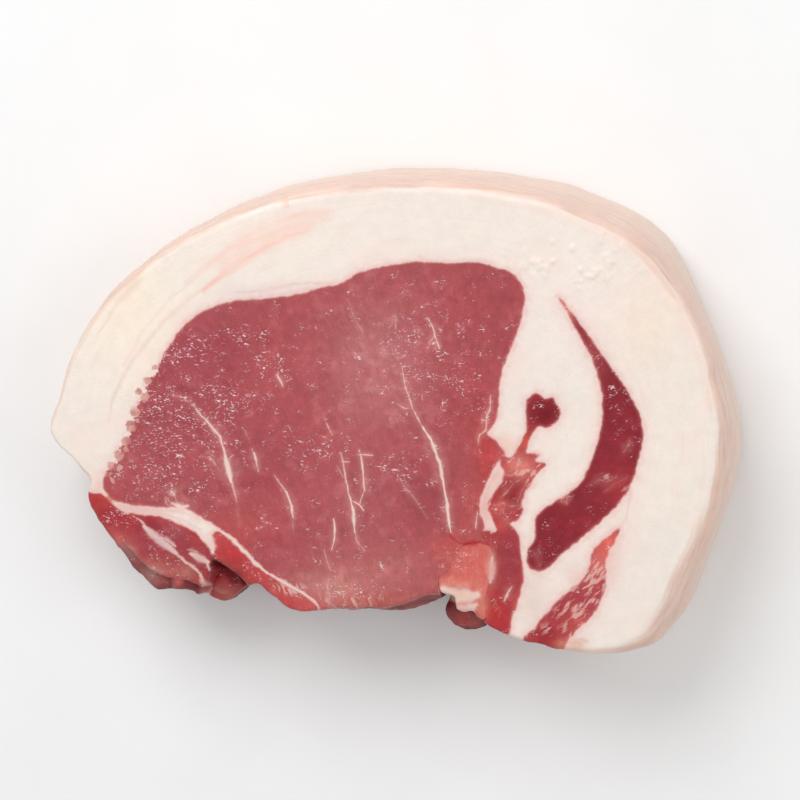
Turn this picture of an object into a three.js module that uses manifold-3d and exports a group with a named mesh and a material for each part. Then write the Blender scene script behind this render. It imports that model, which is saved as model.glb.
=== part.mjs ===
// A thick raw slice of pork loin lying on its lower cut face: rind and fat cap round a loin eye,
// with smaller muscles beside it that all run through the slice from face to face.
// Millimetres, +Z up. The upper cut face looks along +Z, the rind bows towards +Y and +X.

import * as THREE from "three";
import { mergeVertices } from "three/addons/utils/BufferGeometryUtils.js";
import Module from "manifold-3d";

// ---- Driving dimensions ----
const THICKNESS = 32; // between the two cut faces
const MIDDLE_X = -1.7; // middle of the slice's box in the outline coordinates below
const MIDDLE_Y = -1.65;
const GAP = 0.3; // clearance between neighbouring pieces
const OUTLINE_STEP = 3.4; // spacing of points round the whole slice
const MUSCLE_STEP = 2.4; // spacing of points round one muscle
const RELIEF_CELL = 6; // grid of the upper cut face's relief
const WAVE_HEIGHT = 0.35; // shallow waves of the upper cut face, and their lengths over 2 pi
const WAVE_X = 12;
const WAVE_Y = 10;
const OVER = 8; // how far the cutting prisms pass the two cut faces
const FOOT_ROUND = 1.4; // rounding of the lower edge
const BEVEL = 0.3; // share of a rounding at the middle step of its two bevels
const TAG_DEPTH = 7; // the loose tag's thickness
const UNDER_LUMP_ROUND = 3; // rounding of the lump under the tag
const TAG_LIFT = 1.6; // how far the tag stands above the cut face
const TAG_CENTRE = [16, -36];
const TAG_RADII = [7, 8];
const HOLLOW_DEPTH = 10; // hollow beside the flap's lump, below the cut face
const HOLLOW_TAPER = 1.1; // how far its floor is inside its mouth
const LUMP_DROP = 5.5; // top of the flap's lump, below the cut face
const LUMP_ROUND = 2; // rounding of the flap's lump
const FLAP_DROOP = 4; // how far the flap's outer edge sags
const FLAP_SEAM = [-62, -22]; // the sag begins at a line through this point with this slope
const FLAP_SLOPE = -0.42;
const FLAP_REACH = 18; // across the sagging part
const FLAP_END = [-46, -30]; // the sag fades out between these values of x

// ---- The slice's edge ----
// Going round from the left tip over the rind: x, y of the upper cut face's edge, the edge's rounding,
// how far the wall swells beyond it at mid-height, and how far at its foot.
const EDGE = [
  [-77.4, -7.0, 1.2, 0.2, -1.0],
  [-75.2, 2.0, 2.0, 0.6, -0.8],
  [-71.6, 12.4, 2.2, 0.8, -0.6],
  [-65.4, 22.0, 2.2, 0.8, -0.4],
  [-56.6, 30.2, 2.2, 0.8, -0.2],
  [-44.5, 38.4, 2.2, 0.8, 0.0],
  [-30.5, 44.6, 2.4, 0.8, 0.2],
  [-14.0, 48.5, 2.4, 0.8, 0.2],
  [4.0, 49.9, 2.4, 0.8, 0.4],
  [22.0, 48.8, 2.6, 0.9, 0.3],
  [38.0, 45.2, 2.8, 1.0, 0.5],
  [52.5, 37.9, 3.0, 1.4, 1.0],
  [59.4, 31.0, 3.0, 1.2, 0.6],
  [64.2, 23.8, 3.0, 0.2, -0.9],
  [68.3, 14.6, 3.0, 0.0, -1.3],
  [71.0, 4.5, 3.0, 1.1, -0.5],
  [72.2, -6.0, 3.0, 2.0, 0.9],
  [71.4, -17.0, 3.4, 1.8, 1.2],
  [68.6, -28.0, 4.6, 1.0, 0.4],
  [65.0, -38.0, 5.4, 1.2, 0.2],
  [61.2, -46.0, 5.6, 1.0, -0.4],
  [56.2, -51.6, 4.8, 0.8, -0.8],
  [47.6, -53.6, 2.6, 0.4, -0.8],
  [33.0, -52.0, 1.2, 0.2, -0.8],
  [21.6, -48.4, 1.0, 0.4, 0.0],
  [17.6, -45.2, 1.0, 0.8, 0.8],
  [13.6, -44.6, 1.0, 1.0, 1.0],
  [10.2, -41.0, 0.8, 3.2, 2.4],
  [0.0, -43.9, 1.0, 3.2, 2.2],
  [-12.0, -44.8, 1.0, 1.6, 1.0],
  [-22.6, -45.8, 1.2, 0.4, 0.0],
  [-28.2, -42.2, 1.2, 0.6, 0.2],
  [-31.2, -39.9, 1.0, 1.0, 0.6],
  [-35.6, -42.6, 1.2, 0.6, 0.2],
  [-40.4, -45.9, 1.6, 0.6, 0.2],
  [-47.8, -42.7, 1.6, 0.8, 0.2],
  [-55.7, -42.2, 1.8, 0.8, 0.2],
  [-61.8, -35.4, 1.6, 0.4, 0.0],
  [-67.6, -26.2, 1.4, 0.4, 0.0],
  [-69.2, -21.0, 1.0, 0.8, 0.4],
  [-68.4, -17.6, 0.8, 3.0, 2.0],
  [-72.6, -12.8, 0.8, 2.6, 1.6],
];

// ---- Outlines on the cut face. Where a muscle reaches the slice's edge its outline runs past it. ----
const LOIN_EYE = [
  [-30, 23.8], [-20, 25.4], [-12.4, 27.4], [-5, 30.8], [3, 32.4], [12, 32.3], [19, 32.5], [24.7, 31],
  [28, 27.2], [28.2, 23], [26, 15.5], [23.4, 8], [22.8, 0], [20.3, -5.2], [22.8, -8.8], [21, -14],
  [18.7, -19], [18.6, -26], [17.8, -30], [14, -31.6], [11.9, -36], [10.4, -40], [10.6, -46], [4, -53],
  [-11, -53], [-17, -49], [-16.6, -44.6], [-22.3, -40.2], [-30, -36], [-34.5, -31], [-40, -27.3],
  [-46.9, -23.6], [-54, -22.6], [-60.6, -21.6], [-63.8, -19], [-64.2, -14], [-61.5, -7.5],
  [-58.4, -0.5], [-54, 7.5], [-48.5, 15.5], [-43.5, 20.3], [-37, 22.9],
];
const CRESCENT = [
  [36, 25.2], [39.9, 20.4], [43.9, 15], [49.4, 7.4], [52.8, 1.8], [54.4, -4], [53.6, -9.5],
  [51.4, -16.4], [48.2, -20.8], [42.5, -26.3], [37.2, -30.8], [32.6, -34.9], [29.6, -34.3],
  [29.2, -31.2], [31, -27.4], [31, -23.6], [33.6, -20.7], [38.3, -17.6], [41.2, -14.8], [43.2, -10],
  [45.1, -4], [45.4, 4], [43.2, 11.8], [39.6, 18.6],
];
const INNER_MUSCLE = [
  [29.8, 4.0], [32.8, 3.6], [35.6, 2.2], [36.2, -0.8], [33.6, -3.1], [31.2, -3.9], [30, -6.6],
  [32.4, -10.2], [31, -14.2], [28, -18.6], [27.4, -23], [26.8, -27], [27.6, -32], [28, -38],
  [26.6, -44.5], [25.6, -50], [25.6, -58], [17.6, -56], [17.4, -46.6], [19.6, -41.6], [20.8, -38],
  [20.6, -32], [19.4, -27], [18.2, -21], [20.6, -16], [22.6, -11.6], [26.2, -9], [28.2, -5.5],
  [28.6, -1], [28.4, 2.4],
];
const STREAKY_MUSCLE = [
  [49.6, -25.1], [47.6, -30.5], [46.3, -36.2], [45.6, -41], [42.3, -46.6], [38.5, -50.8],
  [37.5, -58], [29, -58], [28.9, -50.4], [31.4, -47.3], [35, -42.7], [40.5, -37.8], [43.2, -34],
  [44.6, -29.5], [47.5, -26.4],
];
const EDGE_STRIP = [
  [-41, -29.3], [-38.2, -28.9], [-35, -30.6], [-30.6, -35.4], [-22.8, -39.6], [-16.4, -44.2],
  [-16.8, -51], [-30.8, -51], [-31.4, -41], [-34.4, -38.4], [-38.2, -35.6], [-40.6, -33.4],
];
const FLAP_OUTER = [
  [-67.6, -20.7], [-65.3, -21.2], [-62.8, -23.6], [-58.6, -26], [-54.6, -29.4], [-49, -33.9],
  [-44.8, -37.6], [-43.6, -41], [-44.6, -50], [-58, -48], [-70, -36], [-74, -24.5], [-71, -20.2],
];
const FLAP_INNER = [
  [-60, -26.2], [-55.6, -26.2], [-50.4, -26.8], [-46, -29.2], [-42.6, -30.6], [-38, -33],
  [-33.6, -37], [-30.4, -41], [-30.8, -52], [-50, -52], [-49, -34], [-54, -30],
];
const LOOSE_TAG = [
  [10.1, -39.8], [10.4, -37.6], [11.9, -36], [13.2, -32.5], [14.8, -30.3], [18.4, -29.3],
  [21, -30.2], [21.8, -34], [20.6, -38.8], [19.7, -41.6], [17.6, -44.9], [14, -45], [12.9, -43],
];
const UNDER_LUMP = [
  [10.6, -43.4], [10.6, -37.6], [13.2, -32.5], [14.8, -30.3], [18.4, -29.3], [21, -30.2],
  [21.8, -34], [20.6, -38.8], [19.7, -44], [20.4, -47.6], [18.6, -50], [15, -50.8], [11.6, -49.4],
  [10, -46.4],
];
const HOLLOW = [
  [-41.4, -34.2], [-38.2, -35.6], [-34.4, -38.4], [-32.2, -41], [-31, -47], [-38, -50],
  [-46, -48], [-45.6, -42.6], [-42.8, -39.4], [-41.8, -36.6],
];
const FLAP_LUMP = [
  [-40.8, -36.6], [-37.6, -38.4], [-35.8, -41.6], [-37, -44.4], [-40.6, -45.6], [-43.8, -44.4],
  [-44.6, -41.4], [-43, -38.4],
];

const wasm = await Module();
wasm.setup();

// ---- Curves ----
const turnsLeft = (points) => THREE.ShapeUtils.area(points) > 0;

// Evenly spaced points round a closed smooth curve through the outline, counter-clockwise.
function smoothOutline(outline, step) {
  const curve = new THREE.CatmullRomCurve3(outline.map(([x, y]) => new THREE.Vector3(x, y, 0)), true);
  const count = Math.round(curve.getLength() / step);
  const points = curve.getSpacedPoints(count).slice(0, count).map((p) => new THREE.Vector2(p.x, p.y));
  return turnsLeft(points) ? points : points.reverse();
}

// The outward direction at each point of a counter-clockwise outline.
function outwardDirections(points) {
  const count = points.length;
  return points.map((_, i) => {
    const before = points[(i + count - 1) % count];
    const after = points[(i + 1) % count];
    return new THREE.Vector2(after.y - before.y, before.x - after.x).normalize();
  });
}

function grown(points, distance) {
  const outward = outwardDirections(points);
  return points.map((p, i) => p.clone().addScaledVector(outward[i], distance));
}

// ---- Solids ----
function solidFrom(geometry) {
  const bare = new THREE.BufferGeometry().setAttribute("position", geometry.getAttribute("position"));
  bare.setIndex(geometry.index);
  const merged = mergeVertices(bare, 1e-4);
  return new wasm.Manifold(
    new wasm.Mesh({
      numProp: 3,
      vertProperties: new Float32Array(merged.getAttribute("position").array),
      triVerts: new Uint32Array(merged.index.array),
    }),
  );
}

function prism(points, low, high) {
  const geometry = new THREE.ExtrudeGeometry(new THREE.Shape(points), {
    depth: high - low,
    bevelEnabled: false,
  });
  return solidFrom(geometry.translate(0, 0, low));
}

// A closed solid through rings of equal length, each an array of Vector3, from the lowest to the highest.
function stack(rings) {
  const count = rings[0].length;
  const index = [];
  for (let level = 0; level + 1 < rings.length; level++) {
    for (let i = 0; i < count; i++) {
      const here = level * count + i;
      const next = level * count + ((i + 1) % count);
      index.push(here, next, next + count, here, next + count, here + count);
    }
  }
  const last = (rings.length - 1) * count;
  for (const [a, b, c] of THREE.ShapeUtils.triangulateShape(rings[0].map(flat), [])) index.push(a, c, b);
  for (const [a, b, c] of THREE.ShapeUtils.triangulateShape(rings.at(-1).map(flat), []))
    index.push(a + last, b + last, c + last);
  const positions = rings.flat().flatMap((p) => [p.x, p.y, p.z]);
  const geometry = new THREE.BufferGeometry();
  geometry.setAttribute("position", new THREE.Float32BufferAttribute(positions, 3));
  geometry.setIndex(index);
  return solidFrom(geometry);
}

const flat = (p) => new THREE.Vector2(p.x, p.y);

// A blob with upright sides and a rounded top, of one outline.
function blob(outline, low, high, round) {
  const points = smoothOutline(outline, MUSCLE_STEP);
  const levels = [
    [low, 0],
    [high - round, 0],
    [high - BEVEL * round, -BEVEL * round],
    [high, -round],
  ];
  return stack(levels.map(([z, offset]) => grown(points, offset).map((p) => new THREE.Vector3(p.x, p.y, z))));
}

// The whole slice: its edge is rounded above, swells at mid-height and turns in at the foot.
function wholeSlice() {
  const path = new THREE.CatmullRomCurve3(EDGE.map(([x, y]) => new THREE.Vector3(x, y, 0)), true);
  const form = new THREE.CatmullRomCurve3(EDGE.map((row) => new THREE.Vector3(...row.slice(2))), true);
  const count = Math.round(path.getLength() / OUTLINE_STEP);
  const places = Array.from({ length: count }, (_, i) => path.getUtoTmapping(1 - i / count));
  const points = places.map((t) => flat(path.getPoint(t)));
  const forms = places.map((t) => form.getPoint(t));
  const outward = outwardDirections(points);
  const ring = (offsetAt, heightAt) =>
    points.map((p, i) => {
      const moved = p.clone().addScaledVector(outward[i], offsetAt(forms[i]));
      return new THREE.Vector3(moved.x, moved.y, heightAt(forms[i]));
    });
  return stack([
    ring((f) => f.z - FOOT_ROUND, () => 0),
    ring((f) => f.z, () => FOOT_ROUND),
    ring((f) => f.y, () => THICKNESS / 2),
    ring(() => 0, (f) => THICKNESS - f.x),
    ring((f) => -BEVEL * f.x, (f) => THICKNESS - BEVEL * f.x),
    ring((f) => -f.x, () => THICKNESS),
    ring((f) => -f.x, () => THICKNESS + OVER),
  ]);
}

// ---- The upper cut face's relief ----
const smoothstep = THREE.MathUtils.smoothstep;

// Height of the cut face above its mean plane: shallow waves, the raised tag and the sagging flap.
function relief(x, y) {
  const waves = WAVE_HEIGHT * Math.sin(x / WAVE_X + 0.6) * Math.cos(y / WAVE_Y - 0.4);
  const fromTag = Math.hypot((x - TAG_CENTRE[0]) / TAG_RADII[0], (y - TAG_CENTRE[1]) / TAG_RADII[1]);
  const tag = TAG_LIFT * (1 - smoothstep(fromTag, 0.4, 1.2));
  const belowSeam = FLAP_SEAM[1] + FLAP_SLOPE * (x - FLAP_SEAM[0]) - y;
  const leftOfStrip = 1 - smoothstep(x, ...FLAP_END);
  const flap = -FLAP_DROOP * smoothstep(belowSeam, 0, FLAP_REACH) * leftOfStrip;
  return waves + tag + flap;
}

// Everything below the relief, as one block wider than the slice.
function underRelief() {
  const width = 168; // wider and deeper than the slice, in whole cells
  const depth = 120;
  const height = THICKNESS + 2 * OVER;
  const across = Math.round(width / RELIEF_CELL);
  const along = Math.round(depth / RELIEF_CELL);
  const block = new THREE.BoxGeometry(width, depth, height, across, along, 1);
  block.translate(0, 0, THICKNESS - height / 2);
  const position = block.getAttribute("position");
  for (let i = 0; i < position.count; i++) {
    if (position.getZ(i) < THICKNESS - 1) continue;
    position.setZ(i, THICKNESS + relief(position.getX(i), position.getY(i)));
  }
  return solidFrom(block);
}

// ---- Cutting the slice into its pieces ----
// The hollow beside the flap's lump narrows towards its floor.
function hollow() {
  const points = smoothOutline(HOLLOW, MUSCLE_STEP);
  const levels = [
    [THICKNESS - HOLLOW_DEPTH, -HOLLOW_TAPER],
    [THICKNESS - 0.4 * HOLLOW_DEPTH, -0.4 * HOLLOW_TAPER],
    [THICKNESS, 0],
    [THICKNESS + OVER, 0],
  ];
  return stack(levels.map(([z, offset]) => grown(points, offset).map((p) => new THREE.Vector3(p.x, p.y, z))));
}

const largestBody = (solid) => solid.decompose().sort((a, b) => b.volume() - a.volume())[0];

const slab = wholeSlice().intersect(underRelief());
const tagFloor = THICKNESS - TAG_DEPTH;
const tag = slab.intersect(prism(smoothOutline(LOOSE_TAG, MUSCLE_STEP), tagFloor, THICKNESS + OVER));
const underLump = blob(UNDER_LUMP, 0, tagFloor - GAP, UNDER_LUMP_ROUND);

const lumpAndTag = [LOOSE_TAG, UNDER_LUMP].map((outline) =>
  prism(grown(smoothOutline(outline, MUSCLE_STEP), GAP), -OVER, THICKNESS + OVER),
);
const flapLump = blob(FLAP_LUMP, 0, THICKNESS - LUMP_DROP, LUMP_ROUND);
const solids = new Map([
  ["loose_tag", tag],
  ["under_lump", underLump],
]);

// Each muscle takes its outline's column of what the muscles before it have left.
let left = lumpAndTag.reduce((solid, cutter) => solid.subtract(cutter), slab);
function takeMuscle(name, outline) {
  const points = smoothOutline(outline, MUSCLE_STEP);
  solids.set(name, largestBody(left.intersect(prism(points, -OVER, THICKNESS + OVER))));
  left = left.subtract(prism(grown(points, GAP), -OVER, THICKNESS + OVER));
}
takeMuscle("loin_eye", LOIN_EYE);
takeMuscle("inner_muscle", INNER_MUSCLE);
takeMuscle("crescent_muscle", CRESCENT);
takeMuscle("streaky_muscle", STREAKY_MUSCLE);
takeMuscle("edge_strip", EDGE_STRIP);
takeMuscle("flap_outer", FLAP_OUTER);
takeMuscle("flap_inner", FLAP_INNER);
solids.set("fat_cap", largestBody(left));

const flapInner = solids.get("flap_inner");
const lumpInFlap = flapInner.intersect(flapLump);
solids.set("flap_inner", largestBody(flapInner.subtract(hollow()).add(lumpInFlap)));

// ---- Materials and meshes ----
const finish = (color, roughness) => new THREE.MeshStandardMaterial({ color, roughness, metalness: 0 });
const FINISHES = {
  fat_cap: finish(0xf0e6da, 0.4),
  loin_eye: finish(0xa8525c, 0.42),
  crescent_muscle: finish(0x92303c, 0.4),
  inner_muscle: finish(0x9c343e, 0.4),
  streaky_muscle: finish(0xb4505a, 0.4),
  edge_strip: finish(0xb9454a, 0.38),
  flap_outer: finish(0xb4444c, 0.36),
  flap_inner: finish(0xa83c46, 0.36),
  loose_tag: finish(0xe0907c, 0.38),
  under_lump: finish(0x7c343a, 0.4),
};

function meshOf(name, solid) {
  const { vertProperties, triVerts } = solid.getMesh();
  const geometry = new THREE.BufferGeometry();
  geometry.setAttribute("position", new THREE.BufferAttribute(vertProperties, 3));
  geometry.setIndex(new THREE.BufferAttribute(triVerts, 1));
  const mesh = new THREE.Mesh(geometry, FINISHES[name]);
  mesh.name = name;
  return mesh;
}

const cut = new THREE.Group();
cut.position.set(-MIDDLE_X, -MIDDLE_Y, 0);
for (const [name, solid] of solids) cut.add(meshOf(name, solid));

const slice = new THREE.Group();
slice.add(cut);

export default slice;
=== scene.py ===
import math

import bpy
import numpy as np
from mathutils import Matrix, Vector
from mathutils.geometry import delaunay_2d_cdt
from mathutils.kdtree import KDTree


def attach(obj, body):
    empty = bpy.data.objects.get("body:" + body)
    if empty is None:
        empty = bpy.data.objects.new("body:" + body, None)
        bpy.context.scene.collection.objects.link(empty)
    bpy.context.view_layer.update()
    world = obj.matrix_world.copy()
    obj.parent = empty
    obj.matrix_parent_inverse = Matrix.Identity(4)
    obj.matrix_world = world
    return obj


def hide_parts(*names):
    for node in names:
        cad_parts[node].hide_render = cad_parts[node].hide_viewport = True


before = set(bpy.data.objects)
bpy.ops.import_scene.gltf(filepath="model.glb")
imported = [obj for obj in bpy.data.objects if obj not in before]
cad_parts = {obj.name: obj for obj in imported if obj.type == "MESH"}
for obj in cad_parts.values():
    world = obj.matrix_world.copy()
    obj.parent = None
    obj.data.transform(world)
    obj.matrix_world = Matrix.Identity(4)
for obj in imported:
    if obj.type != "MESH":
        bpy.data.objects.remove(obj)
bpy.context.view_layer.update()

# A thick raw slice of pork loin. Outlines are in millimetres on the upper cut face, in the
# coordinates of the part's own source; MIDDLE is the middle of its box there.
MIDDLE = np.array([-1.7, -1.65])
THICKNESS = 32.0
FOOT_ROUND = 1.4  # rounding at the foot of the walls
WAVE_HEIGHT = 0.35
LEAN_STEP = 0.18  # how far lean lies below fat
FLAP_DROOP, FLAP_DROOP_WIDTH = 4.0, 18.0  # its sag, and how far below its seam that is full
FLAP_SEAM_X, FLAP_SEAM_Y, FLAP_SEAM_SLOPE = -62.0, -22.0, -0.42  # the flap sags below this line
FLAP_FULL_X, FLAP_END_X = -46.0, -30.0  # the sag fades out from one to the other
FOLD_DEPTH = 2.4
HOLLOW_DEPTH, HOLLOW_SLOPE = 10.0, 2.6  # its depth, and the width of its sides
LUMP_DROP, LUMP_CROWN = 5.5, 2.2  # from the face to the lump in the hollow, and on to its side
LUMP_STEEPNESS = 3.0  # how steeply the lump falls away round it
UNDER_LUMP_EDGE, UNDER_LUMP_RISE = 23.8, 0.8  # height of its edge, and of its middle above that
UNDER_LUMP_ROUNDING = 3.0
TAG_FLOOR, TAG_RISE = 25.0, 0.5
TAG_FREE_BELOW, TAG_FREE_LEFT = -38.5, 19.6  # the tag lies free where y and x are below these
TAG_JOINED_ROUNDING, TAG_FREE_ROUNDING, TAG_SWELL = 0.15, 1.45, 0.4

OUTLINE_STEP = 0.42  # spacing of points along outlines
CURVE_STEPS = 24  # steps of a curve between two of its given points
CELL, LUMP_CELL, TAG_CELL = 0.46, 0.5, 0.36  # spacing of points on the cut faces
UNDERSIDE_CELL = 5.0
ROW_GAP, JITTER = 0.866, 0.15  # distance of rows of points and random shift, in such cells
ROUND_ROWS, WALL_ROWS, FOOT_ROWS = 9, 38, 4  # rows of points down the edge
RIM_REACH, EDGE_REACH = 2e-3, 5e-3  # points and middles of edges this near the rim are on it
FACE_SNAP, UNDERSIDE_SNAP = 1e-5, 1e-6  # points this near each other are one
EXTRA_GAP = 0.2  # least distance from outlines to a stroke's points
GRID_GAP, UNDERSIDE_GAP = 0.55, 0.4  # least distance from a grid's points to others, in cells
RELIEF_START, RELIEF_FULL = 0.2, 2.5  # depths between which the walls' relief comes in
SHARP_ANGLE = math.radians(55)
FAR = 9.0  # a distance that counts as far from any border

# Noise in layers: height, size of its cells, seed.
RIM_WOBBLE = [(0.3, 7.0, 11), (0.12, 1.7, 12)]
SEAM_WOBBLE = [(0.14, 1.1, 13)]
FAT_WAVES = [(0.10, 5.0, 21), (0.03, 1.3, 22)]
LEAN_WAVES = [(0.12, 2.6, 23)]
FIBRE_RIDGES = [(0.07, (0.8, 3.0, 1), 24)]
RIND_WRINKLES = [(0.22, (9, 9, 2.6), 31), (0.08, (3, 3, 0.9), 32)]
TORN_FLESH = [(0.55, (3.2, 3.2, 6.5), 33), (0.22, 1.5, 34)]
STROKE_KNOTS = [(0.7, 1.9, 43), (0.35, 0.8, 44)]

STROKE_SWAY, STROKE_STILL = 0.28, 0.8  # how far strokes waver, and the stretch that calms at an end
STROKE_STEP, STROKE_POINT_STEP = 0.12, 0.26  # spacing along strokes, and of their face points
STROKE_SIDES = (0, 0.45, -0.45, 1, -1)  # where these points lie across, in half-widths
KNOTTED_WIDTH = 1.2  # strokes thinner than this have knots
FLOW_RADIUS = 65.0  # the rind's wrinkles are wrapped round a circle of this radius
FACE_FADE, VEIN_FADE = 5.0, 9.0  # how deep the face's colours and its veins reach down the walls
VEIN_REST = 0.3  # share of the veins' strength that goes all the way down


def points_of(*numbers):
    """Points from a plain run of x, y, x, y."""
    return np.reshape(np.array(numbers, float), (-1, 2))


# Round the slice from the left tip over the rind: x, y of the face's edge, its rounding, the wall's
# swell at mid-height and at its foot.
EDGE = [
    (-77.4, -7, 1.2, 0.2, -1), (-75.2, 2, 2, 0.6, -0.8), (-71.6, 12.4, 2.2, 0.8, -0.6),
    (-65.4, 22, 2.2, 0.8, -0.4), (-56.6, 30.2, 2.2, 0.8, -0.2), (-44.5, 38.4, 2.2, 0.8, 0),
    (-30.5, 44.6, 2.4, 0.8, 0.2), (-14, 48.5, 2.4, 0.8, 0.2), (4, 49.9, 2.4, 0.8, 0.4),
    (22, 48.8, 2.6, 0.9, 0.3), (38, 45.2, 2.8, 1, 0.5), (52.5, 37.9, 3, 1.4, 1),
    (59.4, 31, 3, 1.2, 0.6), (64.2, 23.8, 3, 0.2, -0.9), (68.3, 14.6, 3, 0, -1.3),
    (71, 4.5, 3, 1.1, -0.5), (72.2, -6, 3, 2, 0.9), (71.4, -17, 3.4, 1.8, 1.2),
    (68.6, -28, 4.6, 1, 0.4), (65, -38, 5.4, 1.2, 0.2), (61.2, -46, 5.6, 1, -0.4),
    (56.2, -51.6, 4.8, 0.8, -0.8), (47.6, -53.6, 2.6, 0.4, -0.8), (33, -52, 1.2, 0.2, -0.8),
    (21.6, -48.4, 1, 0.4, 0), (17.6, -45.2, 1, 0.8, 0.8), (13.6, -44.6, 1, 1, 1),
    (10.2, -41, 0.8, 3.2, 2.4), (0, -43.9, 1, 3.2, 2.2), (-12, -44.8, 1, 1.6, 1),
    (-22.6, -45.8, 1.2, 0.4, 0), (-28.2, -42.2, 1.2, 0.6, 0.2), (-31.2, -39.9, 1, 1, 0.6),
    (-35.6, -42.6, 1.2, 0.6, 0.2), (-40.4, -45.9, 1.6, 0.6, 0.2), (-47.8, -42.7, 2.2, 0.8, 0.2),
    (-55.7, -42.2, 2.8, 0.8, 0.2), (-61.8, -35.4, 2.2, 0.4, 0), (-67.6, -26.2, 1.4, 0.4, 0),
    (-69.2, -21, 1, 0.8, 0.4), (-68.4, -17.6, 0.8, 3, 2), (-72.6, -12.8, 0.8, 2.6, 1.6),
]

# Muscles, the lump and the tag. Where one reaches the slice's edge its outline runs past it.
LOIN_EYE = points_of(
    -30, 23.8, -25, 24.3, -20, 25.4, -15, 26.8, -12.4, 27.4, -10, 28.6, -8.2, 29.9, -5, 30.8, 0, 32,
    5, 32.5, 12, 32.3, 18.6, 32.6, 22.8, 31.4, 24.7, 31, 26.3, 29.7, 28.4, 26.2, 28.2, 23, 27.6, 19.7,
    26, 15.5, 24.3, 11.3, 23.4, 8, 22.9, 3, 22.7, 0, 21.5, -3.2, 20.3, -4.9, 21.8, -6, 23.4, -8,
    24.2, -9.2, 23.3, -10.5, 22.3, -11.8, 21, -14, 19.6, -17.3, 18.7, -20, 18.8, -22.5, 19.7, -25.2,
    19.4, -27.3, 19, -30, 16.8, -30.6, 14.8, -31.6, 14, -33.4, 12.8, -36, 11.2, -38, 11, -40.4,
    10.6, -46, 4, -53, -11, -53, -17, -49, -16.5, -45, -18.5, -42.8, -22.3, -40.2, -26, -38.5, -30, -36,
    -32.9, -32.7, -36.4, -29.5, -40, -27.1, -44.5, -24.5, -46.9, -23.2, -54, -23.1, -61, -22.4,
    -63.4, -21.7, -65, -20, -65.5, -18, -65, -14, -62.5, -9.7, -60.5, -6, -59.3, -2.5, -57.5, 1.5,
    -56.3, 4.4, -53.6, 8.3, -50.9, 12.1, -47.9, 16.3, -44.4, 19.7, -40, 22, -35, 23.3,
)
CRESCENT = points_of(
    36, 25.2, 39.9, 20.4, 43.9, 15, 49.4, 7.4, 52.8, 1.8, 54.4, -4, 53.6, -9.5, 51.4, -16.4,
    48.2, -20.8, 42.5, -26.3, 37.2, -30.8, 32.6, -34.9, 29.6, -34.3, 29.2, -31.2, 31, -27.4, 31, -23.6,
    33.6, -20.7, 38.3, -17.6, 41.2, -14.8, 43.2, -10, 45.1, -4, 45.4, 4, 43.2, 11.8, 39.6, 18.6,
)
INNER_MUSCLE = points_of(
    30.9, 4.4, 32, 3.8, 33, 3, 34.5, 3.4, 35.3, 2.4, 36.4, 0, 36, -1.4, 34.9, -2.5, 33.4, -3.3,
    31.8, -3.1, 30.9, -3.9, 29.9, -5.6, 29.1, -7.5, 28.9, -8.9, 31.9, -9.3, 31, -10.7, 33.2, -11.4,
    31, -13.7, 30, -16, 28.6, -18, 28, -20.5, 28.2, -22, 27, -24, 25.5, -24.9, 26.5, -25.6, 27.3, -27.2,
    27.8, -30.6, 28.4, -36, 28, -39, 27.2, -42.5, 25.9, -45.9, 25.4, -50, 25.6, -58, 17.6, -56,
    17.4, -46.6, 18.4, -44.8, 19.2, -41.5, 19.8, -38.5, 20.8, -34, 20, -31, 18.6, -30.2, 18.6, -27.4,
    19.6, -26.6, 22.3, -26.2, 21.9, -25, 21, -23, 20.6, -21, 21.2, -18.9, 22.8, -16.8, 23.9, -14.8,
    24, -13.2, 23.2, -11.4, 23.5, -9.7, 25.2, -10, 26.4, -9.1, 27.9, -6.4, 28.6, -4.6, 29, -2.5,
    28.8, 1.3, 29, 2.5, 29.9, 3.6,
)
STREAKY_MUSCLE = points_of(
    49.4, -25.2, 48.3, -28.4, 47.1, -30.4, 46.4, -33, 46.6, -37.2, 45.6, -41, 44.2, -43.8, 42.3, -46.2,
    39.6, -48.8, 37.9, -51, 37.5, -58, 29, -58, 28.6, -50, 31, -48, 32.6, -45.6, 35, -42.8, 38, -39.7,
    41, -37.2, 43, -33.4, 43.4, -31, 44.8, -29, 47.5, -26.6,
)
EDGE_STRIP = points_of(
    -41, -28.9, -38.2, -27.6, -36, -29, -32, -32.2, -28, -36, -22, -39.4, -16.2, -43.6, -16.8, -51,
    -30.8, -51, -31.4, -41, -34.4, -38.4, -38.2, -35.7, -40.6, -33.4,
)
FLAP_OUTER = points_of(
    -67.6, -20.3, -66, -20.3, -64.8, -21.3, -63.1, -23.1, -61, -24.5, -58.9, -25.3, -56.8, -26.6,
    -53.6, -30.4, -49, -33.9, -44.8, -37.6, -43.1, -40, -44.6, -50, -58, -48, -70, -36, -74, -24.5,
    -71, -20.2,
)
FLAP_INNER = points_of(
    -60, -25, -55.6, -25.1, -52.6, -25.4, -48.3, -26.9, -44.5, -28.7, -43.1, -30.2, -41.4, -32,
    -38, -34, -33.6, -37, -30.4, -41, -30.8, -52, -50, -52, -49, -34, -54, -30,
)
UNDER_LUMP = points_of(
    10.8, -42.6, 12, -39, 13, -36, 14.4, -33, 16, -31.4, 18.4, -30.6, 20.2, -31.6, 20.9, -34, 20, -38.8,
    19.6, -44, 20.4, -47.6, 18.6, -50, 15, -50.8, 11.6, -49.4, 10, -46.4,
)
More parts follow.
